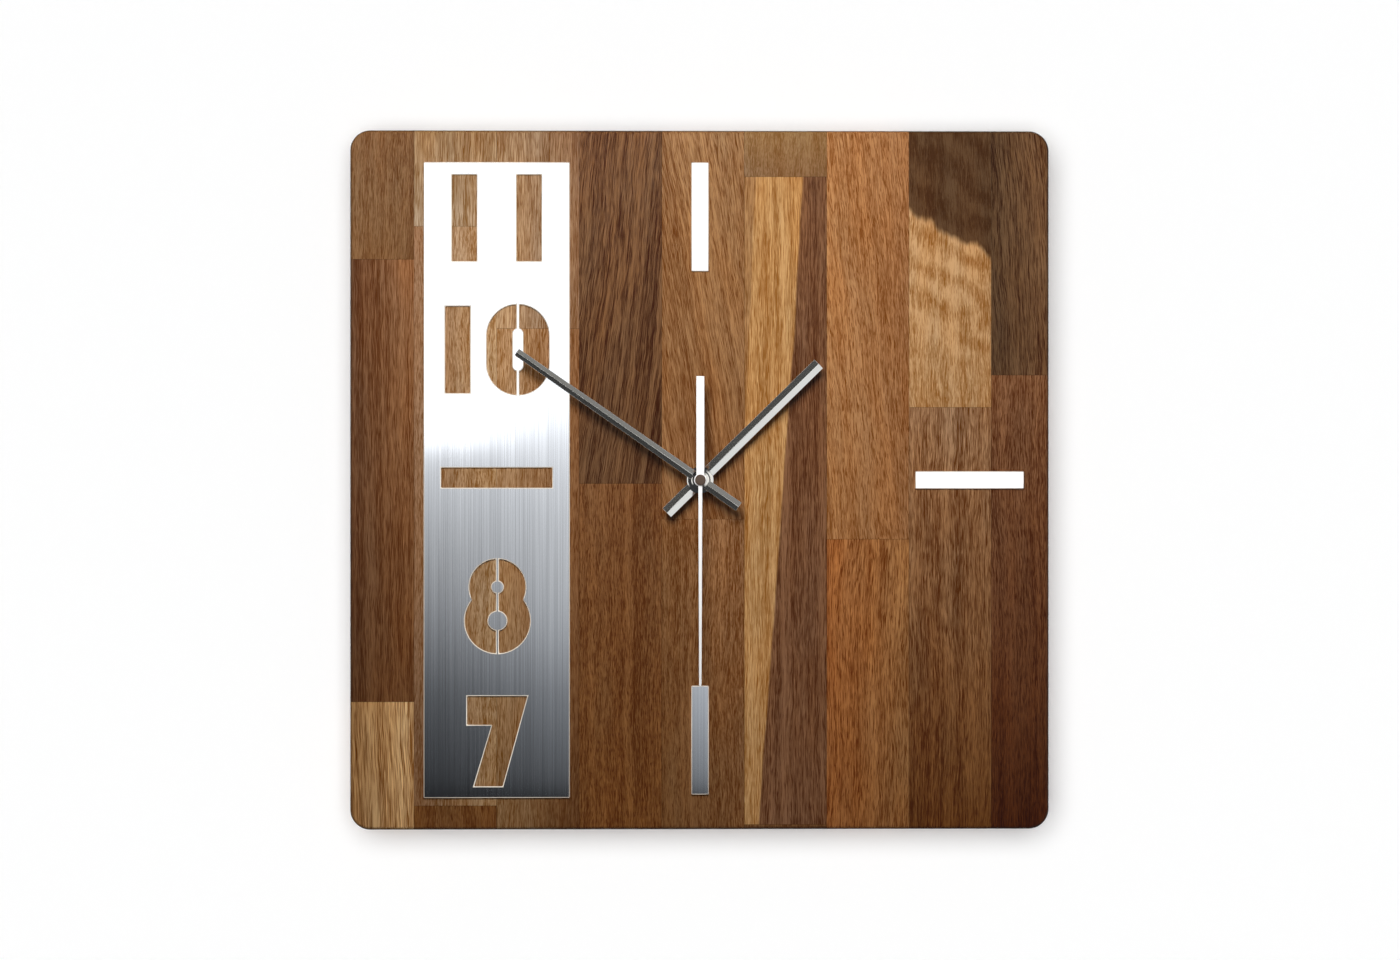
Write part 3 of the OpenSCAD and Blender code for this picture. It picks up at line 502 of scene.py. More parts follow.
def stave_wood(name, wood, seed):
    """Oiled wood. Growth layers are noise of the distance from a far pith, fibres and pores
    are noise drawn out along the grain, and the grain sways and leans from stave to stave."""
    first, second, spread, dashed, lean, layer, sink, run, kind = STAVES[name]
    low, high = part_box(name)
    half_w, half_h = (high.x - low.x) / 2 / MM, (high.z - low.z) / 2 / MM
    material, graph = new_material("wood_" + name)
    spot = graph.place((low + high) / 2)
    x, y, z = graph.split(spot)

    sway = graph.noise(spot, (60.0, 60.0, 130.0), seed, 1.0) - 0.5
    waver = graph.noise(spot, (12.0, 12.0, 20.0), seed + 1.7, 2.0) - 0.5
    across = x - z * lean + sway * SWAY + waver * WAVER
    grain = graph.join(across, y, z)

    layers = growth_layers(graph, across, y, z, layer, seed)
    fibre = (wood.fibre_width / MM, wood.fibre_length * run / MM)
    fibres = streaks(graph, grain, *fibre, seed + 3.1, 2.0, 0.6)
    pore = (wood.pore_width / MM, wood.pore_length * run / MM)
    pores = streaks(graph, grain, *pore, seed + 7.3).rise(0.54, 0.62)
    strokes = streaks(graph, grain, STROKE_WIDTH, STROKE_LENGTH * run, seed + 9.1, 2.0, 0.6)
    flecks = streaks(graph, grain, FLECK_WIDTH, FLECK_LENGTH * run, seed + 12.7)
    strokes, flecks = strokes.rise(0.48, 0.59), flecks.rise(0.57, 0.67)
    hairs = streaks(graph, grain, HAIR_WIDTH, HAIR_LENGTH * run, seed + 15.1)
    drift = streaks(graph, grain, 13.0, 90.0, seed + 5.9)

    tone = 0.62 + (fibres - 0.5) * 1.9 + (layers - 0.5) * (1.3 - 0.6 * dashed)
    tone = tone + (drift - 0.5) * 0.8 + (hairs - 0.5) * 0.9
    if kind == "cap":
        tone = tone + curly_figure(graph, spot, x, z, z + half_h, seed)
    tone = tone - strokes * (0.5 - 0.3 * dashed) - pores * (0.2 + 0.45 * dashed)
    tone = (tone + flecks * (0.5 - 0.25 * dashed)).clamped()

    heart = 1.6 if kind == "strip" else 1.0
    coats = [grain_tones(first, spread), grain_tones(second, spread * heart)]
    body = graph.mix(
        second_tone(graph, kind, spot, half_w, half_h), *(graph.mix(tone, *coat) for coat in coats)
    )
    # darker glue lines and sawn ends, and a painted shade on the rounded rim of the board
    shade = edge_shade(graph, x, z, half_w, half_h, wood.glue_line / MM)
    blush = streaks(graph, grain, 9.0, 44.0, seed + 17.9) - 0.5
    # how fast red, green and blue darken downwards, and how far each goes with the blush
    channels = ((1.0, 0.12), (1.2, -0.12), (1.6, -0.5))
    factors = []
    for part, warm in channels:
        factors.append(shade * (1.0 + z * (sink * part / half_h / 2)) * (1.0 + blush * warm))
    ins = {
        "Base Color": graph.multiply(body, factors),
        "Roughness": (wood.polish + pores * 0.2 - tone * 0.06).clamped(),
        "Specular IOR Level": 0.1,
        "Normal": graph.bump((1.0 - pores) * 0.8 + fibres * 0.2, wood.pore_depth, 0.6),
    }
    graph.surface(ins)
    return material


# ---------- metals and plastics ----------


def brushed_metal(name, base, roughness, line, run, along, grip, anisotropic=0.0, scratch=0.0):
    """Metal brushed along one axis: noise drawn out along it shades the metal by its grip,
    roughens it and, for scratches of a depth in metres, bends its normal. line and run are
    the spacing and the length of the brush lines in mm."""
    material, graph = new_material(name)
    spot = graph.place()
    fine, wide = [line] * 3, [line * 6] * 3
    fine[along], wide[along] = run, run * 2
    lines = graph.noise(spot, fine, 1.0, 3.0, 0.65)
    broad = graph.noise(spot, wide, 5.0, 1.0)
    stain = graph.noise(spot, (23.0, 23.0, 23.0), 8.0, 3.0)
    shade = 1.0 + (lines - 0.5) * grip * 2.4 + (broad - 0.5) * grip * 0.2
    rough = roughness + (lines - 0.5) * roughness * 0.5 + (stain - 0.5) * roughness * 0.2
    ins = {
        "Base Color": graph.multiply((*base, 1.0), shade),
        "Metallic": 1.0,
        "Roughness": rough.clamped(),
        "Anisotropic": anisotropic,
    }
    if scratch:
        ins["Normal"] = graph.bump(lines, scratch, 1.0)
    graph.surface(ins)
    return material


def moulded(name, base, roughness, speck, depth, metallic=0.0, fade=0.12):
    """Moulded or painted surface: a fine orange peel, whose specks are given in mm and whose
    depth in metres, and a slow drift of tone and gloss."""
    material, graph = new_material(name)
    spot = graph.place()
    peel = graph.noise(spot, (speck,) * 3, 2.0, 2.0)
    drift = graph.noise(spot, (11.0,) * 3, 6.0, 3.0)
    shade = 1.0 + (drift - 0.5) * fade + (peel - 0.5) * fade * 0.5
    ins = {
        "Base Color": graph.multiply((*base, 1.0), shade),
        "Metallic": metallic,
        "Roughness": (roughness + (drift - 0.5) * 0.16 + (peel - 0.5) * 0.1).clamped(),
        "Normal": graph.bump(peel, depth, 0.5),
    }
    graph.surface(ins)
    return material


def polished_hand(name, base, roughness, rim):
    """Polished aluminium. The flat round its hole, up to the given rim radius, is left dull and
    painted dark, a painted shade, but for a crescent on either side that stays bright, a painted
    highlight."""
    material, graph = new_material(name)
    spot = graph.place(ARBOR)
    x, _, z = graph.split(spot)
    cloud = graph.noise(spot, (6.0, 6.0, 6.0), 3.0, 3.0)
    reach = (x * x + z * z).math("SQRT")
    side = x / reach
    # the crescents on either side of the flat are a painted highlight
    right = side.rise(0.45, 0.85) * (reach - rim).rise(-1.5, -1.1)
    left = (-side).rise(0.8, 0.95) * (reach - rim).rise(-0.6, -0.4)
    painted_crescent_highlight = right + left
    # the flat is painted dark as shade, apart from the crescents
    flat = (1.0 - reach.rise(rim + 0.1, rim + 0.2)) * (1.0 - painted_crescent_highlight)
    tone = graph.mix(flat, (*base, 1.0), colour("3a3a3b"))
    ins = {
        "Base Color": graph.mix(cloud * 0.12, tone, colour("8f9294")),
        "Metallic": 1.0,
        "Roughness": roughness + flat * 0.25 + (cloud - 0.5) * 0.06,
    }
    graph.surface(ins)
    return material


def card_laminate(name):
    """Green circuit card: copper tracks under the lacquer are the edges of a cell pattern."""
    material, graph = new_material(name)
    spot = graph.place(ARBOR)
    ins = {"Vector": spot, "Scale": 0.35}
    cells = graph.add("TexVoronoi", {"feature": "DISTANCE_TO_EDGE"}, ins)
    tracks = 1.0 - cells.rise(0.06, 0.12)
    weave = graph.noise(spot, (0.3, 5.0, 0.3), 3.0, 1.0)
    tone = graph.mix(tracks, colour("2f5a30"), colour("5d8a4a"))
    ins = {
        "Base Color": tone,
        "Roughness": 0.34 + (weave - 0.5) * 0.2,
        "Normal": graph.bump(tracks + weave * 0.2, 0.00003),
    }
    graph.surface(ins)
    return material


def battery_sleeve(name, base):
    """Shrunk sleeve over a battery: the body colour, a black minus end and a bare steel end."""
    material, graph = new_material(name)
    low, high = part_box("battery")
    spot = graph.place((low + high) / 2)
    x = graph.split(spot)[0]
    half = (high.x - low.x) / 2 / MM
    creases = graph.noise(spot, (0.5, 3.0, 3.0), 4.0, 3.0)
    black = 1.0 - x.rise(-0.28 * half - 0.05, -0.28 * half + 0.05)
    bare = x.rise(half - 1.35, half - 1.3).math("MAXIMUM", 1.0 - x.rise(0.05 - half, 0.1 - half))
    tone = graph.mix(black, (*base, 1.0), colour("191919"))
    tone = graph.mix(bare, tone, colour("cfd1d2"))
    ins = {
        "Base Color": tone,
        "Metallic": bare * 0.9 + (1.0 - black) * (1.0 - bare) * 0.55,
        "Roughness": (0.26 + (creases - 0.5) * 0.2).clamped(),
        "Normal": graph.bump(creases, 0.00004, 0.4),
    }
    graph.surface(ins)
    return material


def wound_wire(name, pitch):
    """Enamelled copper wire: a fine wave along the coil, one turn to a wave, that bumps the surface
    and paints each turn bright on its crest and dark in the hollow, a painted highlight and shade.
    """
    material, graph = new_material(name)
    x = graph.split(graph.place())[0]
    turns = (x * (2 * math.pi / pitch)).math("SINE") * 0.5 + 0.5
    sheen = graph.noise(graph.place(), (2.0, 2.0, 2.0), 2.0, 2.0)
    # each turn is painted from dark copper in the hollow to bright copper on the crest: painted
    # shade and highlight
    tone = graph.mix((turns * 0.7 + sheen * 0.3).clamped(), colour("7a2e12"), colour("d07038"))
    ins = {
        "Base Color": tone,
        "Metallic": 0.85,
        "Roughness": 0.3 + sheen * 0.1,
        "Normal": graph.bump(turns, 0.00005),
    }
    graph.surface(ins)
    return material


# ---------- shapes ----------


def new_piece(name, mesh, body, replaced=()):
    """Puts a mesh into the scene as a piece that rides on a body, in place of CAD nodes or
    beside them."""
    piece = bpy.data.objects.new(name, mesh)
    bpy.context.scene.collection.objects.link(piece)
    if replaced:
        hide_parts(*replaced)
    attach(piece, body)
    return piece


def weld(mesh, outward=True):
    """Merges doubled points. Turns the faces of a new surface outwards; those of a copied
    solid point the right way, and only lose the edges inside its flat faces."""
    work = bmesh.new()
    work.from_mesh(mesh)
    bmesh.ops.remove_doubles(work, verts=work.verts, dist=0.001 * MM)
    if outward:
        bmesh.ops.recalc_face_normals(work, faces=work.faces)
    else:
        flat = math.radians(0.2)
        bmesh.ops.dissolve_limit(work, angle_limit=flat, verts=work.verts, edges=work.edges)
    work.to_mesh(mesh)
    work.free()


def soften(piece, degrees=35.0):
    """Shades a piece smooth, apart from edges sharper than the given angle."""
    piece.data.shade_smooth()
    piece.data.set_sharp_from_angle(angle=math.radians(degrees))


def eased_copy(name, width, segments=2, clamp=True):
    """A copy of a node, welded, with its sharp edges rounded over by a bevel."""
    source = NODES[name]
    mesh = source.data.copy()
    mesh.name = name + "_eased"
    weld(mesh, outward=False)
    piece = new_piece(name + "_eased", mesh, source["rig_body"], (name,))
    bevel = piece.modifiers.new("ease", "BEVEL")
    bevel.width, bevel.segments = width, segments
    bevel.limit_method, bevel.angle_limit = "ANGLE", math.radians(32)
    bevel.use_clamp_overlap, bevel.loop_slide = clamp, False
    soften(piece, 20.0)
    return piece


def sheet_of(name, points):
    """A mesh over a grid of points: rows along the profile, columns round the axis, and four
    neighbours to a face."""
    rows, columns = points.shape[:2]
    i, j = np.meshgrid(np.arange(rows - 1), np.arange(columns), indexing="ij")
    k = (j + 1) % columns
    here, above = i * columns, (i + 1) * columns
    faces = np.stack([here + j, here + k, above + k, above + j], -1)
    mesh = bpy.data.meshes.new(name)
    mesh.from_pydata(points.reshape(-1, 3).tolist(), [], faces.reshape(-1, 4).tolist())
    weld(mesh)
    return mesh


def turned(profile, centre, axis="Y", steps=96, ripple=None):
    """Points of a turned piece: the radius times the cosine and sine of the angle, at a depth
    along the axis. The profile lists radius and depth, in metres, and a ripple, a function of
    angle, depth and radius, may be added to the radius."""
    radius, depth = np.array(profile, float).T[:, :, None]
    angle = np.linspace(0, 2 * np.pi, steps, endpoint=False)[None, :]
    reach = radius + (ripple(angle, depth, radius) if ripple else 0 * angle)
    u, v, w = reach * np.cos(angle), reach * np.sin(angle), depth + 0 * reach
    order = (u, w, v) if axis == "Y" else (w, u, v)
    return np.stack(order, -1) + np.array(centre)[None, None, :]


def rounded_profile(corners, radius, steps=5):
    """A profile through the corners. Each inner corner is rounded by a parabola that leaves its
    sides at the radius from the corner, or nearer to it on short sides."""
    corners = np.array(corners, float)
    out = [corners[0]]
    for before, at, after in zip(corners[:-2], corners[1:-1], corners[2:]):
        a, b = before - at, after - at
        cut = min(radius, np.hypot(*a) * 0.45, np.hypot(*b) * 0.45)
        a, b = at + a / np.hypot(*a) * cut, at + b / np.hypot(*b) * cut
        t = np.linspace(0, 1, steps)[:, None]
        out.extend((1 - t) ** 2 * a + 2 * t * (1 - t) * at + t * t * b)
    out.append(corners[-1])
    return np.array(out)


def turned_piece(name, points, body, material, replaced=(), degrees=35.0):
    """Makes a finished piece from a grid of points."""
    piece = new_piece(name, sheet_of(name, points), body, replaced)
    soften(piece, degrees)
    dress(piece, material)


# ---------- operators ----------


class CLOCK_OT_staves(bpy.types.Operator):
    """Finish the staves of the board in oiled wood"""

    bl_idname = "clock.staves"
    bl_label = "Staves"

    def execute(self, context):
        wood = context.scene.clock_wood
        for number, name in enumerate(STAVES):
            dress(NODES[name], stave_wood(name, wood, 1.37 * number + 0.61))
        return {"FINISHED"}


class CLOCK_OT_dial(bpy.types.Operator):
    """Brush the dial plate and the three markers, and give their cut edges a bright colour, a
    painted highlight
    """

    bl_idname = "clock.dial"
    bl_label = "Dial plate and markers"

    def execute(self, context):
        steel = context.scene.clock_steel
        finish = (steel.steel, steel.plate_roughness, steel.brushing / MM)
        plate = brushed_metal("brushed_plate", *finish, 120.0, 2, 0.46, 0.8)
        marker = brushed_metal("brushed_markers", *finish, 160.0, 2, 0.2, 0.8)
        # the chamfer along the cut edges is real, but its bright cream colour is a painted
        # highlight
        burr = moulded("cut_edge", steel.burr, 0.42, 0.2, 0.000004, 0.9, 0.05)
        self.face_and_edge("dial_plate", "plate_steel", steel.cut_edge, plate, burr)
        for name in ("marker_twelve", "marker_three", "marker_six"):
            self.face_and_edge(name, "marker_steel", steel.cut_edge, marker, burr)
        return {"FINISHED"}

    def face_and_edge(self, name, slot, width, face, edge):
        """Gives the sheet one material and the chamfer that the bevel adds another."""
        piece = eased_copy(name, width, 1, False)
        dress(piece, face)
        piece.data.materials.append(edge)
        piece.modifiers["ease"].material = len(piece.data.materials) - 1


class CLOCK_OT_hands(bpy.types.Operator):
    """Finish the three hands and turn the boss that holds the second hand"""

    bl_idname = "clock.hands"
    bl_label = "Hands"

    def execute(self, context):
        hands = context.scene.clock_hands
        # the radius in mm of the flat round the hole of each folded hand, which is painted dark as
        # shade
        for name, rim in (("hour_hand", 5.7), ("minute_hand", 3.9)):
            satin = polished_hand("satin_" + name, hands.aluminium, hands.satin, rim)
            dress(eased_copy(name, hands.edge), satin)
        white = moulded("white_enamel", hands.white, 0.3, 0.3, 0.000004, fade=0.03)
        dress(eased_copy("second_hand", hands.edge), white)
        self.turn_boss(hands)
        return {"FINISHED"}

    def turn_boss(self, hands):
        """A rounded head in front of the second hand, and a thin tube behind it: a profile of
        corners, each rounded, turned about the arbor."""
        low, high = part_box("second_boss")
        back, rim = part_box("second_hand")[0].y, (high.x - low.x) / 2
        face, floor = low.y, back - 0.2 * MM
        tube, bore = 0.9 * MM, 0.52 * MM
        corners = [
            (0, face), (rim, face + 0.08 * MM), (rim, back), (tube, back),
            (tube, high.y), (bore, high.y), (bore, floor), (0, floor),
        ]
        points = turned(rounded_profile(corners, 0.28 * MM), (ARBOR.x, 0, ARBOR.z))
        bronze = moulded("boss_bronze", hands.boss, 0.42, 0.2, 0.000004, 0.3, 0.1)
        turned_piece("boss_turned", points, "seconds", bronze, ("second_boss",))


class CLOCK_OT_hardware(bpy.types.Operator):
    """Make the hanger, its screws, the wall pads, the threaded bush, the nut and the washer"""

    bl_idname = "clock.hardware"
    bl_label = "Hardware"

    def execute(self, context):
        steel, movement = context.scene.clock_steel, context.scene.clock_movement
        zinc = brushed_metal("zinc_plate", steel.zinc, 0.34, 1.8, 3.5, 0, 0.12, scratch=0.000004)
        dress(eased_copy("hanger_plate", 0.3 * MM), zinc)
        self.turn_screws(brushed_metal("screw_zinc", steel.yellow_zinc, 0.26, 0.5, 2.0, 0, 0.08))
        self.turn_pads(moulded("pad_rubber", colour("2c2a29")[:3], 0.78, 0.18, 0.00005))
        brass = brushed_metal("turned_brass", steel.brass, 0.24, 0.2, 1.2, 0, 0.06)
        self.cut_bush(movement.thread_pitch, brass)
        for name in ("dial_nut", "dial_washer"):
            dress(eased_copy(name, 0.16 * MM), brass)
        return {"FINISHED"}

    def turn_screws(self, material):
        """Pan heads without a countersink: the face is a dome less a cross, whose depth falls
        off with the distance from the nearer arm of the cross and with the radius."""
        low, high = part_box("hanger_screws")
        shank, head, rise = 1.5 * MM, 3 * MM, high.y
        arm_width, arm_reach, cross_depth = 0.36 * MM, 1.75 * MM, 0.7 * MM
        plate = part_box("hanger_plate")
        lift = (plate[0].z + plate[1].z) / 2
        radii = np.linspace(0, head * 0.96, 26)
        dome = rise * (1 - 0.32 * (radii / head) ** 4)
        under = 0.02 * MM
        rim = [(head, rise * 0.45), (head, under), (shank, under), (shank, low.y + MM), (0, low.y)]
        profile = np.vstack([np.column_stack([radii, dome]), rounded_profile(rim, 0.2 * MM)])

        steps = 128
        turn = np.linspace(0, 2 * np.pi, steps, endpoint=False)[None, :]
        u, v = np.abs(radii[:, None] * np.cos(turn)), np.abs(radii[:, None] * np.sin(turn))
        arm = np.clip(1 - np.minimum(u, v) / arm_width, 0, 1) ** 0.5
        cross = arm * np.clip(1 - radii[:, None] / arm_reach, 0, 1) ** 0.35
        for side, x in (("left", low.x + head), ("right", high.x - head)):
            points = turned(profile, (x, 0, lift), steps=steps)
            points[: len(radii), :, 1] -= cross_depth * cross
            replaced = ("hanger_screws",) if side == "left" else ()
            name = "hanger_screw_" + side
            turned_piece(name, points, "root", material, replaced, 30.0)

    def turn_pads(self, material):
        """Four soft discs with a rounded rim and a shallow dish."""
        low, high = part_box("wall_pads")
        radius = 6 * MM
        dish = high.y - 0.12 * MM
        corners = [(0, dish), (radius * 0.6, high.y), (radius, high.y), (radius, 0), (0, 0)]
        profile = rounded_profile(corners, 0.9 * MM, 7)
        left, right, foot, top = low.x + radius, high.x - radius, low.z + radius, high.z - radius
        places = ((left, foot), (left, top), (right, foot), (right, top))
        for number, (x, z) in enumerate(places, 1):
            points = turned(profile, (x, 0, z), steps=64)
            replaced = ("wall_pads",) if number == 1 else ()
            turned_piece(f"wall_pad_{number}", points, "root", material, replaced)

    def cut_bush(self, pitch, material):
        """A tube with a flange. Its thread is a triangular wave of the depth less the angle's
        share of a pitch, taken off the radius, and runs out at both ends."""
        low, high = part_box("mounting_bush")
        outer, bore, flange = 4.0 * MM, 2.63 * MM, (high.x - low.x) / 2
        seat = high.y - 0.8 * MM
        thread_depth, lead, near = 0.4 * MM, 0.35 * MM, 0.01 * MM
        rows = int((seat - low.y) / pitch * 10)
        along = np.linspace(low.y + near, seat - 0.02 * MM, rows)
        thread = np.column_stack([np.full(rows, outer), along])
        start = [(bore, low.y + MM), (bore + 0.2 * MM, low.y), (outer - 0.45 * MM, low.y)]
        rest = [(outer, seat), (flange, seat), (flange, high.y), (bore, high.y), (bore, low.y + MM)]
        profile = np.vstack([start, thread, rest])

        def groove(angle, depth, radius):
            """What the thread and its lead-in take off the radius."""
            turns = (depth / pitch - angle / (2 * np.pi)) % 1
            wave = np.abs(2 * turns - 1)
            run_in = np.clip((depth - low.y) / (0.6 * MM), 0, 1)
            run_in = run_in * np.clip((seat - MM - depth) / (0.5 * MM), 0, 1)
            cut = (radius > outer - near) & (radius < outer + near)
            tip = lead * cut * (depth < low.y + 0.3 * MM) * (1 - run_in)
            return -thread_depth * wave * cut * run_in - tip

        points = turned(profile, (ARBOR.x, 0, ARBOR.z), ripple=groove)
        replaced = ("mounting_bush",)
        turned_piece("bush_threaded", points, "root", material, replaced, 40.0)


class CLOCK_OT_movement(bpy.types.Operator):
    """Finish the case, the battery, the wheels and the electronics of the movement"""

    bl_idname = "clock.movement"
    bl_label = "Movement"

    def execute(self, context):
        movement = context.scene.clock_movement
        case = moulded("case_plastic", movement.case, 0.5, 0.25, 0.00003)
        for name in ("movement_case", "movement_cover"):
            dress(eased_copy(name, movement.ease), case)
        gasket = moulded("gasket_rubber", colour("1b1b1b")[:3], 0.85, 0.2, 0.00004)
        dress(NODES["case_gasket"], gasket)
        train = moulded("wheel_acetal", movement.train, 0.4, 0.5, 0.00001, fade=0.06)
        for name in ACETAL_NODES:
            dress(NODES[name], train)
        for metal, (code, roughness, line, run, along, grip, names) in MOVEMENT_METALS.items():
            material = brushed_metal(metal, colour(code)[:3], roughness, line, run, along, grip)
            for name in names:
                dress(NODES[name], material)
        magnet = moulded("magnet_alloy", colour("4c4e52")[:3], 0.4, 0.2, 0.00001, 0.8)
        dress(NODES["rotor_magnet"], magnet)
        dress(NODES["circuit_board"], card_laminate("card_laminate"))
        self.wind_coil()
        self.roll_battery(movement)
        self.mould_knob(movement)
        return {"FINISHED"}

    def wind_coil(self):
        """The winding is a tube round the core whose radius rises and falls once a turn."""
        low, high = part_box("coil_winding")
        outer, bore, pitch = (high.z - low.z) / 2, 1.5 * MM, 0.35 * MM
        rows = int((high.x - low.x) / pitch * 6)
        outside = np.column_stack([np.full(rows, outer), np.linspace(low.x, high.x, rows)])
        profile = np.vstack([[(bore, low.x)], outside, [(bore, high.x), (bore, low.x)]])

        def hollows(angle, depth, radius):
            """What the hollow between two turns of wire takes off the radius."""
            wave = np.abs(np.sin(np.pi * (depth / pitch - angle / (2 * np.pi))))
            return -0.06 * MM * (1 - wave) * (radius > bore + 0.1 * MM)

        centre = (low + high) / 2
        points = turned(profile, (0, centre.y, centre.z), "X", 48, hollows)
        wire = wound_wire("enamelled_copper", pitch / MM)
        turned_piece("coil_wound", points, "root", wire, ("coil_winding",), 60.0)

    def roll_battery(self, movement):
        """A can rolled in at both ends, with a sleeve lip, a button and a flat minus end."""
        low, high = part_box("battery")
        radius, centre = (high.z - low.z) / 2, (low + high) / 2
        button, shoulder = 2.7 * MM, high.x - MM
        corners = [
            (0, high.x), (button, high.x), (button, shoulder),
            (radius * 0.72, high.x - 1.15 * MM), (radius * 0.78, shoulder - 0.02 * MM),
            (radius, high.x - 1.3 * MM), (radius, low.x + 0.2 * MM),
            (radius * 0.82, low.x + 0.12 * MM), (radius * 0.78, low.x + 0.3 * MM),
            (radius * 0.7, low.x), (0, low.x),
        ]
        points = turned(rounded_profile(corners, 0.5 * MM), (0, centre.y, centre.z), "X")
        sleeve = battery_sleeve("battery_sleeve", movement.sleeve)
        turned_piece("battery_rolled", points, "root", sleeve, ("battery",), 40.0)

    def mould_knob(self, movement):
        """A disc with a scalloped rim: the radius falls by a cosine of the angle, one hollow to
        a finger groove, and less towards the faces."""
        low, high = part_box("setting_knob")
        radius, centre = (high.x - low.x) / 2, (low + high) / 2
        hollow, spindle, grooves = 0.42 * MM, 1.02 * MM, 30
        dish, ring, groove = high.y - 1.1 * MM, high.y - 0.45 * MM, high.y - 1.0 * MM
        corners = [
            (0, dish), (radius * 0.3, dish), (radius * 0.36, high.y - 0.5 * MM),
            (radius * 0.5, ring), (radius * 0.56, groove), (radius * 0.8, groove),
            (radius * 0.86, high.y), (radius, high.y), (radius, low.y), (spindle, low.y),
            (spindle, low.y + 2 * MM), (0, low.y + 2 * MM),
        ]

        def scallop(angle, depth, radii):
            """What the finger grooves take off the rim."""
            edge = np.clip((radii - radius * 0.88) / (radius * 0.12), 0, 1)
            return -hollow * edge * (0.5 + 0.5 * np.cos(grooves * angle)) ** 1.6

        profile = rounded_profile(corners, 0.3 * MM)
        points = turned(profile, (centre.x, 0, centre.z), steps=360, ripple=scallop)
        plastic = moulded("knob_plastic", movement.knob, 0.36, 0.3, 0.00001, fade=0.06)
        replaced = ("setting_knob",)
        turned_piece("knob_moulded", points, "setting", plastic, replaced, 50.0)


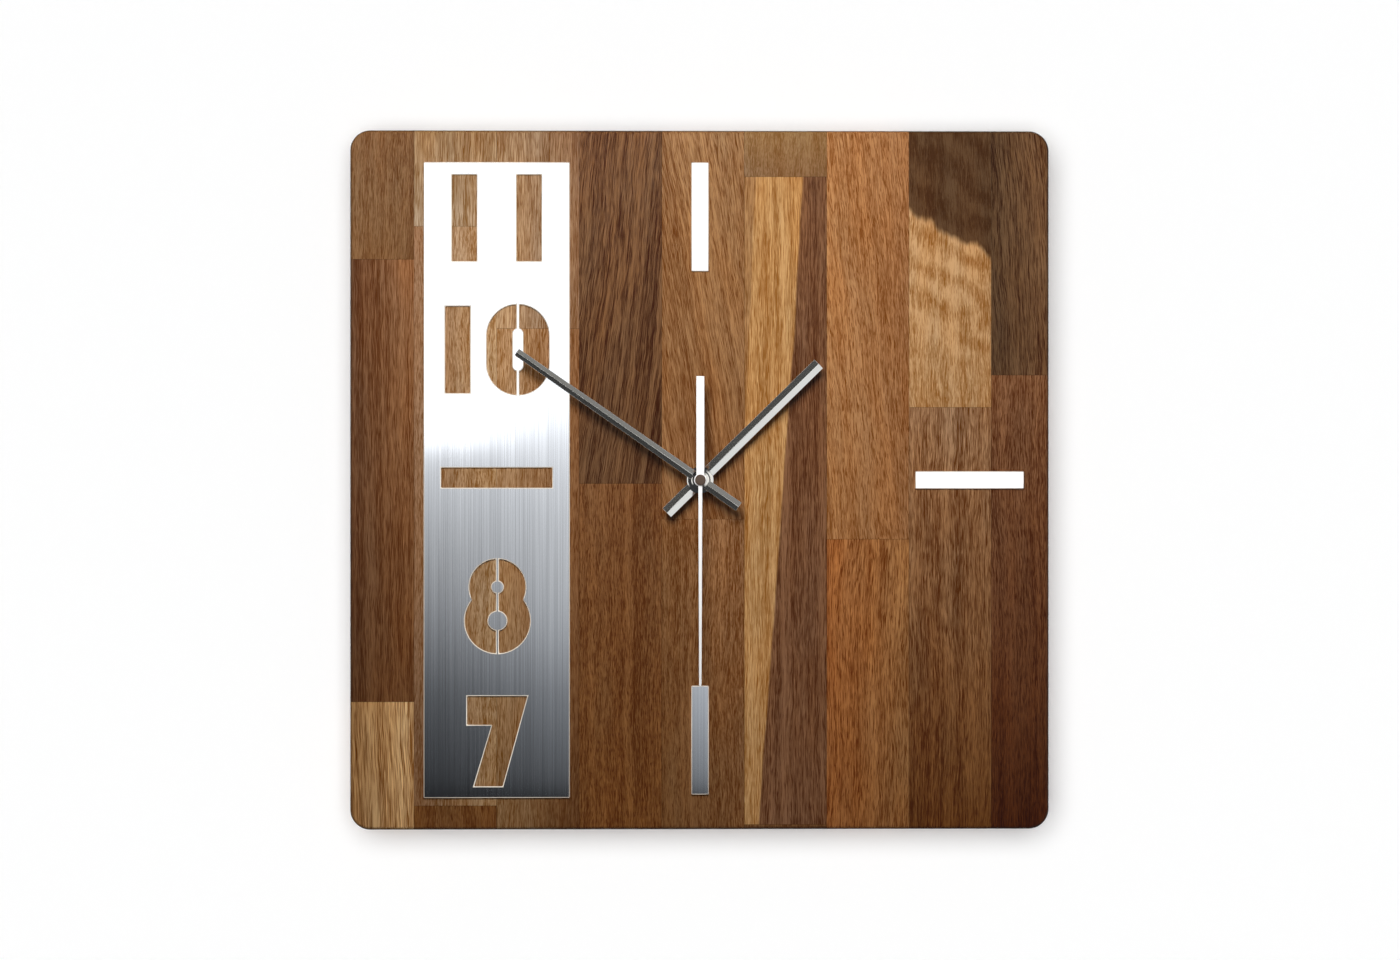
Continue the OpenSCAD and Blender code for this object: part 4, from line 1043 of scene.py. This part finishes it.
class CLOCK_OT_stage(bpy.types.Operator):
    """Hang the clock on a pale wall above a pale floor, and set the lights and the camera"""

    bl_idname = "clock.stage"
    bl_label = "Stage"

    def execute(self, context):
        stage = context.scene.clock_stage
        context.scene.view_settings.view_transform = "Standard"
        backdrop = self.sweep(context.scene, stage)
        dress(backdrop, self.backdrop_paper(stage))
        self.light_world(context.scene, stage)
        self.hang_lamps(context.scene, stage, backdrop)
        self.set_camera(context.scene, stage)
        return {"FINISHED"}

    def sweep(self, scene, stage):
        """A wall that runs into the floor in a quarter circle: a profile carried along X."""
        wall, ground = CAD_BOX[1].y + stage.wall_gap, ARBOR.z - stage.floor_drop
        cove, top, reach = 0.3, 2.5, 4.0
        turn = np.linspace(0, np.pi / 2, 24)
        bend_y, bend_z = wall - cove + cove * np.cos(turn), ground + cove - cove * np.sin(turn)
        bend = np.column_stack([bend_y, bend_z])
        profile = np.vstack([[(wall, top)], bend, [(-reach, ground)]])
        x, y = np.broadcast_arrays(np.array([[-reach, reach]]), profile[:, :1])
        points = np.stack([x, y, np.broadcast_to(profile[:, 1:], x.shape)], -1)
        rows = np.arange(len(profile) - 1)[:, None] * 2
        faces = rows + np.array([[0, 2, 3, 1]])
        mesh = bpy.data.meshes.new("backdrop")
        mesh.from_pydata(points.reshape(-1, 3).tolist(), [], faces.tolist())
        mesh.shade_smooth()
        backdrop = bpy.data.objects.new("backdrop", mesh)
        scene.collection.objects.link(backdrop)
        return backdrop

    def backdrop_paper(self, stage):
        """Matte paper that glows a little on the wall and more on the floor. It is seen by the
        camera from its front alone, so that a view from behind looks through the wall."""
        material, graph = new_material("backdrop_paper")
        path = graph.add("LightPath", output="Is Camera Ray")
        back = graph.add("NewGeometry", output="Backfacing")
        paper = graph.add("BsdfDiffuse", inputs={"Color": (*stage.backdrop, 1.0)})
        upward = graph.split(graph.add("NewGeometry", output="Normal"))[2]
        wall, ground = 0.03, 0.78
        dim, bright = ((*(part * c for c in stage.backdrop), 1.0) for part in (wall, ground))
        shone = graph.mix(upward.rise(0.1, 1.0), dim, bright)
        glow = graph.add("Emission", inputs={"Color": shone})
        paper = graph.add("AddShader", inputs={0: paper, 1: glow})
        clear = graph.add("BsdfTransparent")
        graph.finish(graph.add("MixShader", inputs={0: path * (1.0 - back), 1: clear, 2: paper}))
        return material

    def studio_front(self, graph, height, aside):
        """What the steel and the hands mirror, by degrees above the horizon and to the right: a
        bright panel above a soft, slanted edge, and below it a fall to the dark that grows
        brighter to the right, as a power of e."""
        fall = graph.add("ValToRGB", {"stops": FALL_STOPS}, {0: (height + FALL_LOW) / FALL_SPAN})
        growth = 0.07 + 0.285 * (1.0 - height.rise(-4.2, 0.3))
        below = (fall * 1.18 * (math.e ** ((aside + 3.62) * growth))).clamped(0.02, 0.95)
        above = 0.13 * math.e ** (aside * 0.016)
        above = above + (1.6 - above) * (1.0 - height.rise(13.0, 18.0))
        edge = 0.5 + 0.46 * aside.rise(-2.9, -1.3) - 1.8 * aside.rise(0.5, 4.4)
        blur = 0.06 + 0.46 * aside.rise(-2.7, -1.3)
        return below + (above - below) * ((height - edge) / blur).rise(-1.0, 1.0)

    def light_world(self, scene, stage):
        """A white studio whose front, where the camera stands, is darker. It lights matte
        surfaces less than it shows in gloss, and the camera sees it plain white."""
        world = bpy.data.worlds.new("studio")
        scene.world = world
        world.use_nodes = True
        graph = Graph(world.node_tree)
        x, y, z = graph.split(graph.add("TexCoord", output="Generated"))
        degrees = 180 / math.pi
        height = z.clamped(-1.0, 1.0).math("ARCSINE") * degrees
        aside = x.math("ARCTAN2", -y) * degrees
        front = self.studio_front(graph, height, aside)
        facing = (-y).rise(0.5, 0.72)
        room = 0.85 + 0.25 * z.rise(-0.6, 0.6)
        light = room + (front - room) * facing
        camera = graph.add("LightPath", output="Is Camera Ray")
        gloss = graph.add("LightPath", output="Is Glossy Ray")
        matte = stage.fill + stage.rear_fill * y.rise(-0.1, 0.45)
        light = light * (matte + (1.0 - matte) * gloss)
        light = light + (1.0 - light) * camera
        cool = facing * (1.0 - height.rise(-4.5, -1.0)) * (1.0 - camera)
        tone = graph.join(light * (1.0 - cool * 0.03), light, light * (1.0 + cool * 0.04))
        shader = graph.add("Background", inputs={"Color": tone, "Strength": 1.0})
        graph.add("OutputWorld", inputs={"Surface": shader})

    def hang_lamps(self, scene, stage, backdrop):
        """A key light over the clock, to the left, that spares the wall; an even light from the
        same side for the wall alone, whose spread sets how soft the clock's shadow is; and a
        light behind the clock, for its rear and sides."""
        middle = CLOCK_MIDDLE
        spot = (middle.x - 0.06, BOARD_FACE - 0.38, middle.z + 0.25)
        target = (middle.x, BOARD_FACE, middle.z + 0.03)
        key = self.lamp(scene, "key", "AREA", spot, target)
        key.data.energy, key.data.size, key.data.shape = stage.key, stage.key_size, "DISK"
        spot = (middle.x - 0.186, -2.0, middle.z + 0.214)
        wash = self.lamp(scene, "wall_wash", "SUN", spot, middle)
        wash.data.energy, wash.data.angle = stage.wash, stage.wash_spread
        spot = (middle.x + 0.5, 1.6, middle.z + 0.9)
        rear = self.lamp(scene, "rear", "AREA", spot, middle)
        rear.data.energy, rear.data.size, rear.data.shape = stage.rear, stage.rear_size, "DISK"
        for holder, state in ((wash, "INCLUDE"), (key, "EXCLUDE"), (rear, "EXCLUDE")):
            self.link(holder, backdrop, state)

    def lamp(self, scene, name, kind, spot, target):
        """A lamp that neither the camera nor gloss sees."""
        holder = bpy.data.objects.new(name, bpy.data.lights.new(name, kind))
        scene.collection.objects.link(holder)
        holder.visible_camera = holder.visible_glossy = False
        self.aim(holder, spot, target)
        return holder

    def aim(self, holder, spot, target):
        """Puts a lamp or the camera at a spot, and turns it to the target."""
        holder.location = spot
        direction = holder.location - Vector(target)
        holder.rotation_euler = direction.to_track_quat("Z", "Y").to_euler()

    def link(self, holder, receiver, state):
        """Lets a lamp light the receiver alone, or everything but it."""
        group = bpy.data.collections.new(holder.name + "_receivers")
        group.objects.link(receiver)
        holder.light_linking.receiver_collection = group
        group.collection_objects[0].light_linking.link_state = state

    def set_camera(self, scene, stage):
        """A camera in front of the middle of the board, swung a little to the left, whose lens
        takes in the width of the view at the distance of the board."""
        lens = bpy.data.cameras.new("camera")
        lens.sensor_width = 36.0
        lens.lens = lens.sensor_width * stage.distance / stage.view_width
        holder = bpy.data.objects.new("camera", lens)
        scene.collection.objects.link(holder)
        back = (-math.sin(stage.swing), -math.cos(stage.swing), 0.0)
        target = (CLOCK_MIDDLE.x, BOARD_FACE, CLOCK_MIDDLE.z)
        self.aim(holder, [t + b * stage.distance for t, b in zip(target, back)], target)
        scene.camera = holder


class CLOCK_PT_panel(bpy.types.Panel):
    """Lists the steps that dress the clock"""

    bl_label = "Wall Clock"
    bl_idname = "CLOCK_PT_panel"
    bl_space_type = "VIEW_3D"
    bl_region_type = "UI"
    bl_category = "Clock"

    def draw(self, context):
        """Lays out a button for each step, and a box for each group of settings."""
        for operator in OPERATORS:
            self.layout.operator(operator.bl_idname)
        for name in SETTINGS:
            box = self.layout.box()
            group = getattr(context.scene, name)
            for key in group.bl_rna.properties.keys():
                if key not in ("rna_type", "name"):
                    box.prop(group, key)


SETTINGS = {
    "clock_wood": WoodSettings,
    "clock_steel": SteelSettings,
    "clock_hands": HandSettings,
    "clock_movement": MovementSettings,
    "clock_stage": StageSettings,
}
OPERATORS = (
    CLOCK_OT_staves,
    CLOCK_OT_dial,
    CLOCK_OT_hands,
    CLOCK_OT_hardware,
    CLOCK_OT_movement,
    CLOCK_OT_stage,
)


def register():
    """Makes the classes known, and hangs each group of settings on the scene."""
    for item in (*SETTINGS.values(), *OPERATORS, CLOCK_PT_panel):
        bpy.utils.register_class(item)
    for name, group in SETTINGS.items():
        setattr(bpy.types.Scene, name, bpy.props.PointerProperty(type=group))


def unregister():
    """Takes the settings off the scene and the classes out, in the other order."""
    for name in SETTINGS:
        delattr(bpy.types.Scene, name)
    for item in reversed((*SETTINGS.values(), *OPERATORS, CLOCK_PT_panel)):
        bpy.utils.unregister_class(item)


def main():
    """Registers the add-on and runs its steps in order."""
    register()
    bpy.ops.clock.staves()
    bpy.ops.clock.dial()
    bpy.ops.clock.hands()
    bpy.ops.clock.hardware()
    bpy.ops.clock.movement()
    bpy.ops.clock.stage()


if __name__ == "__main__":
    main()
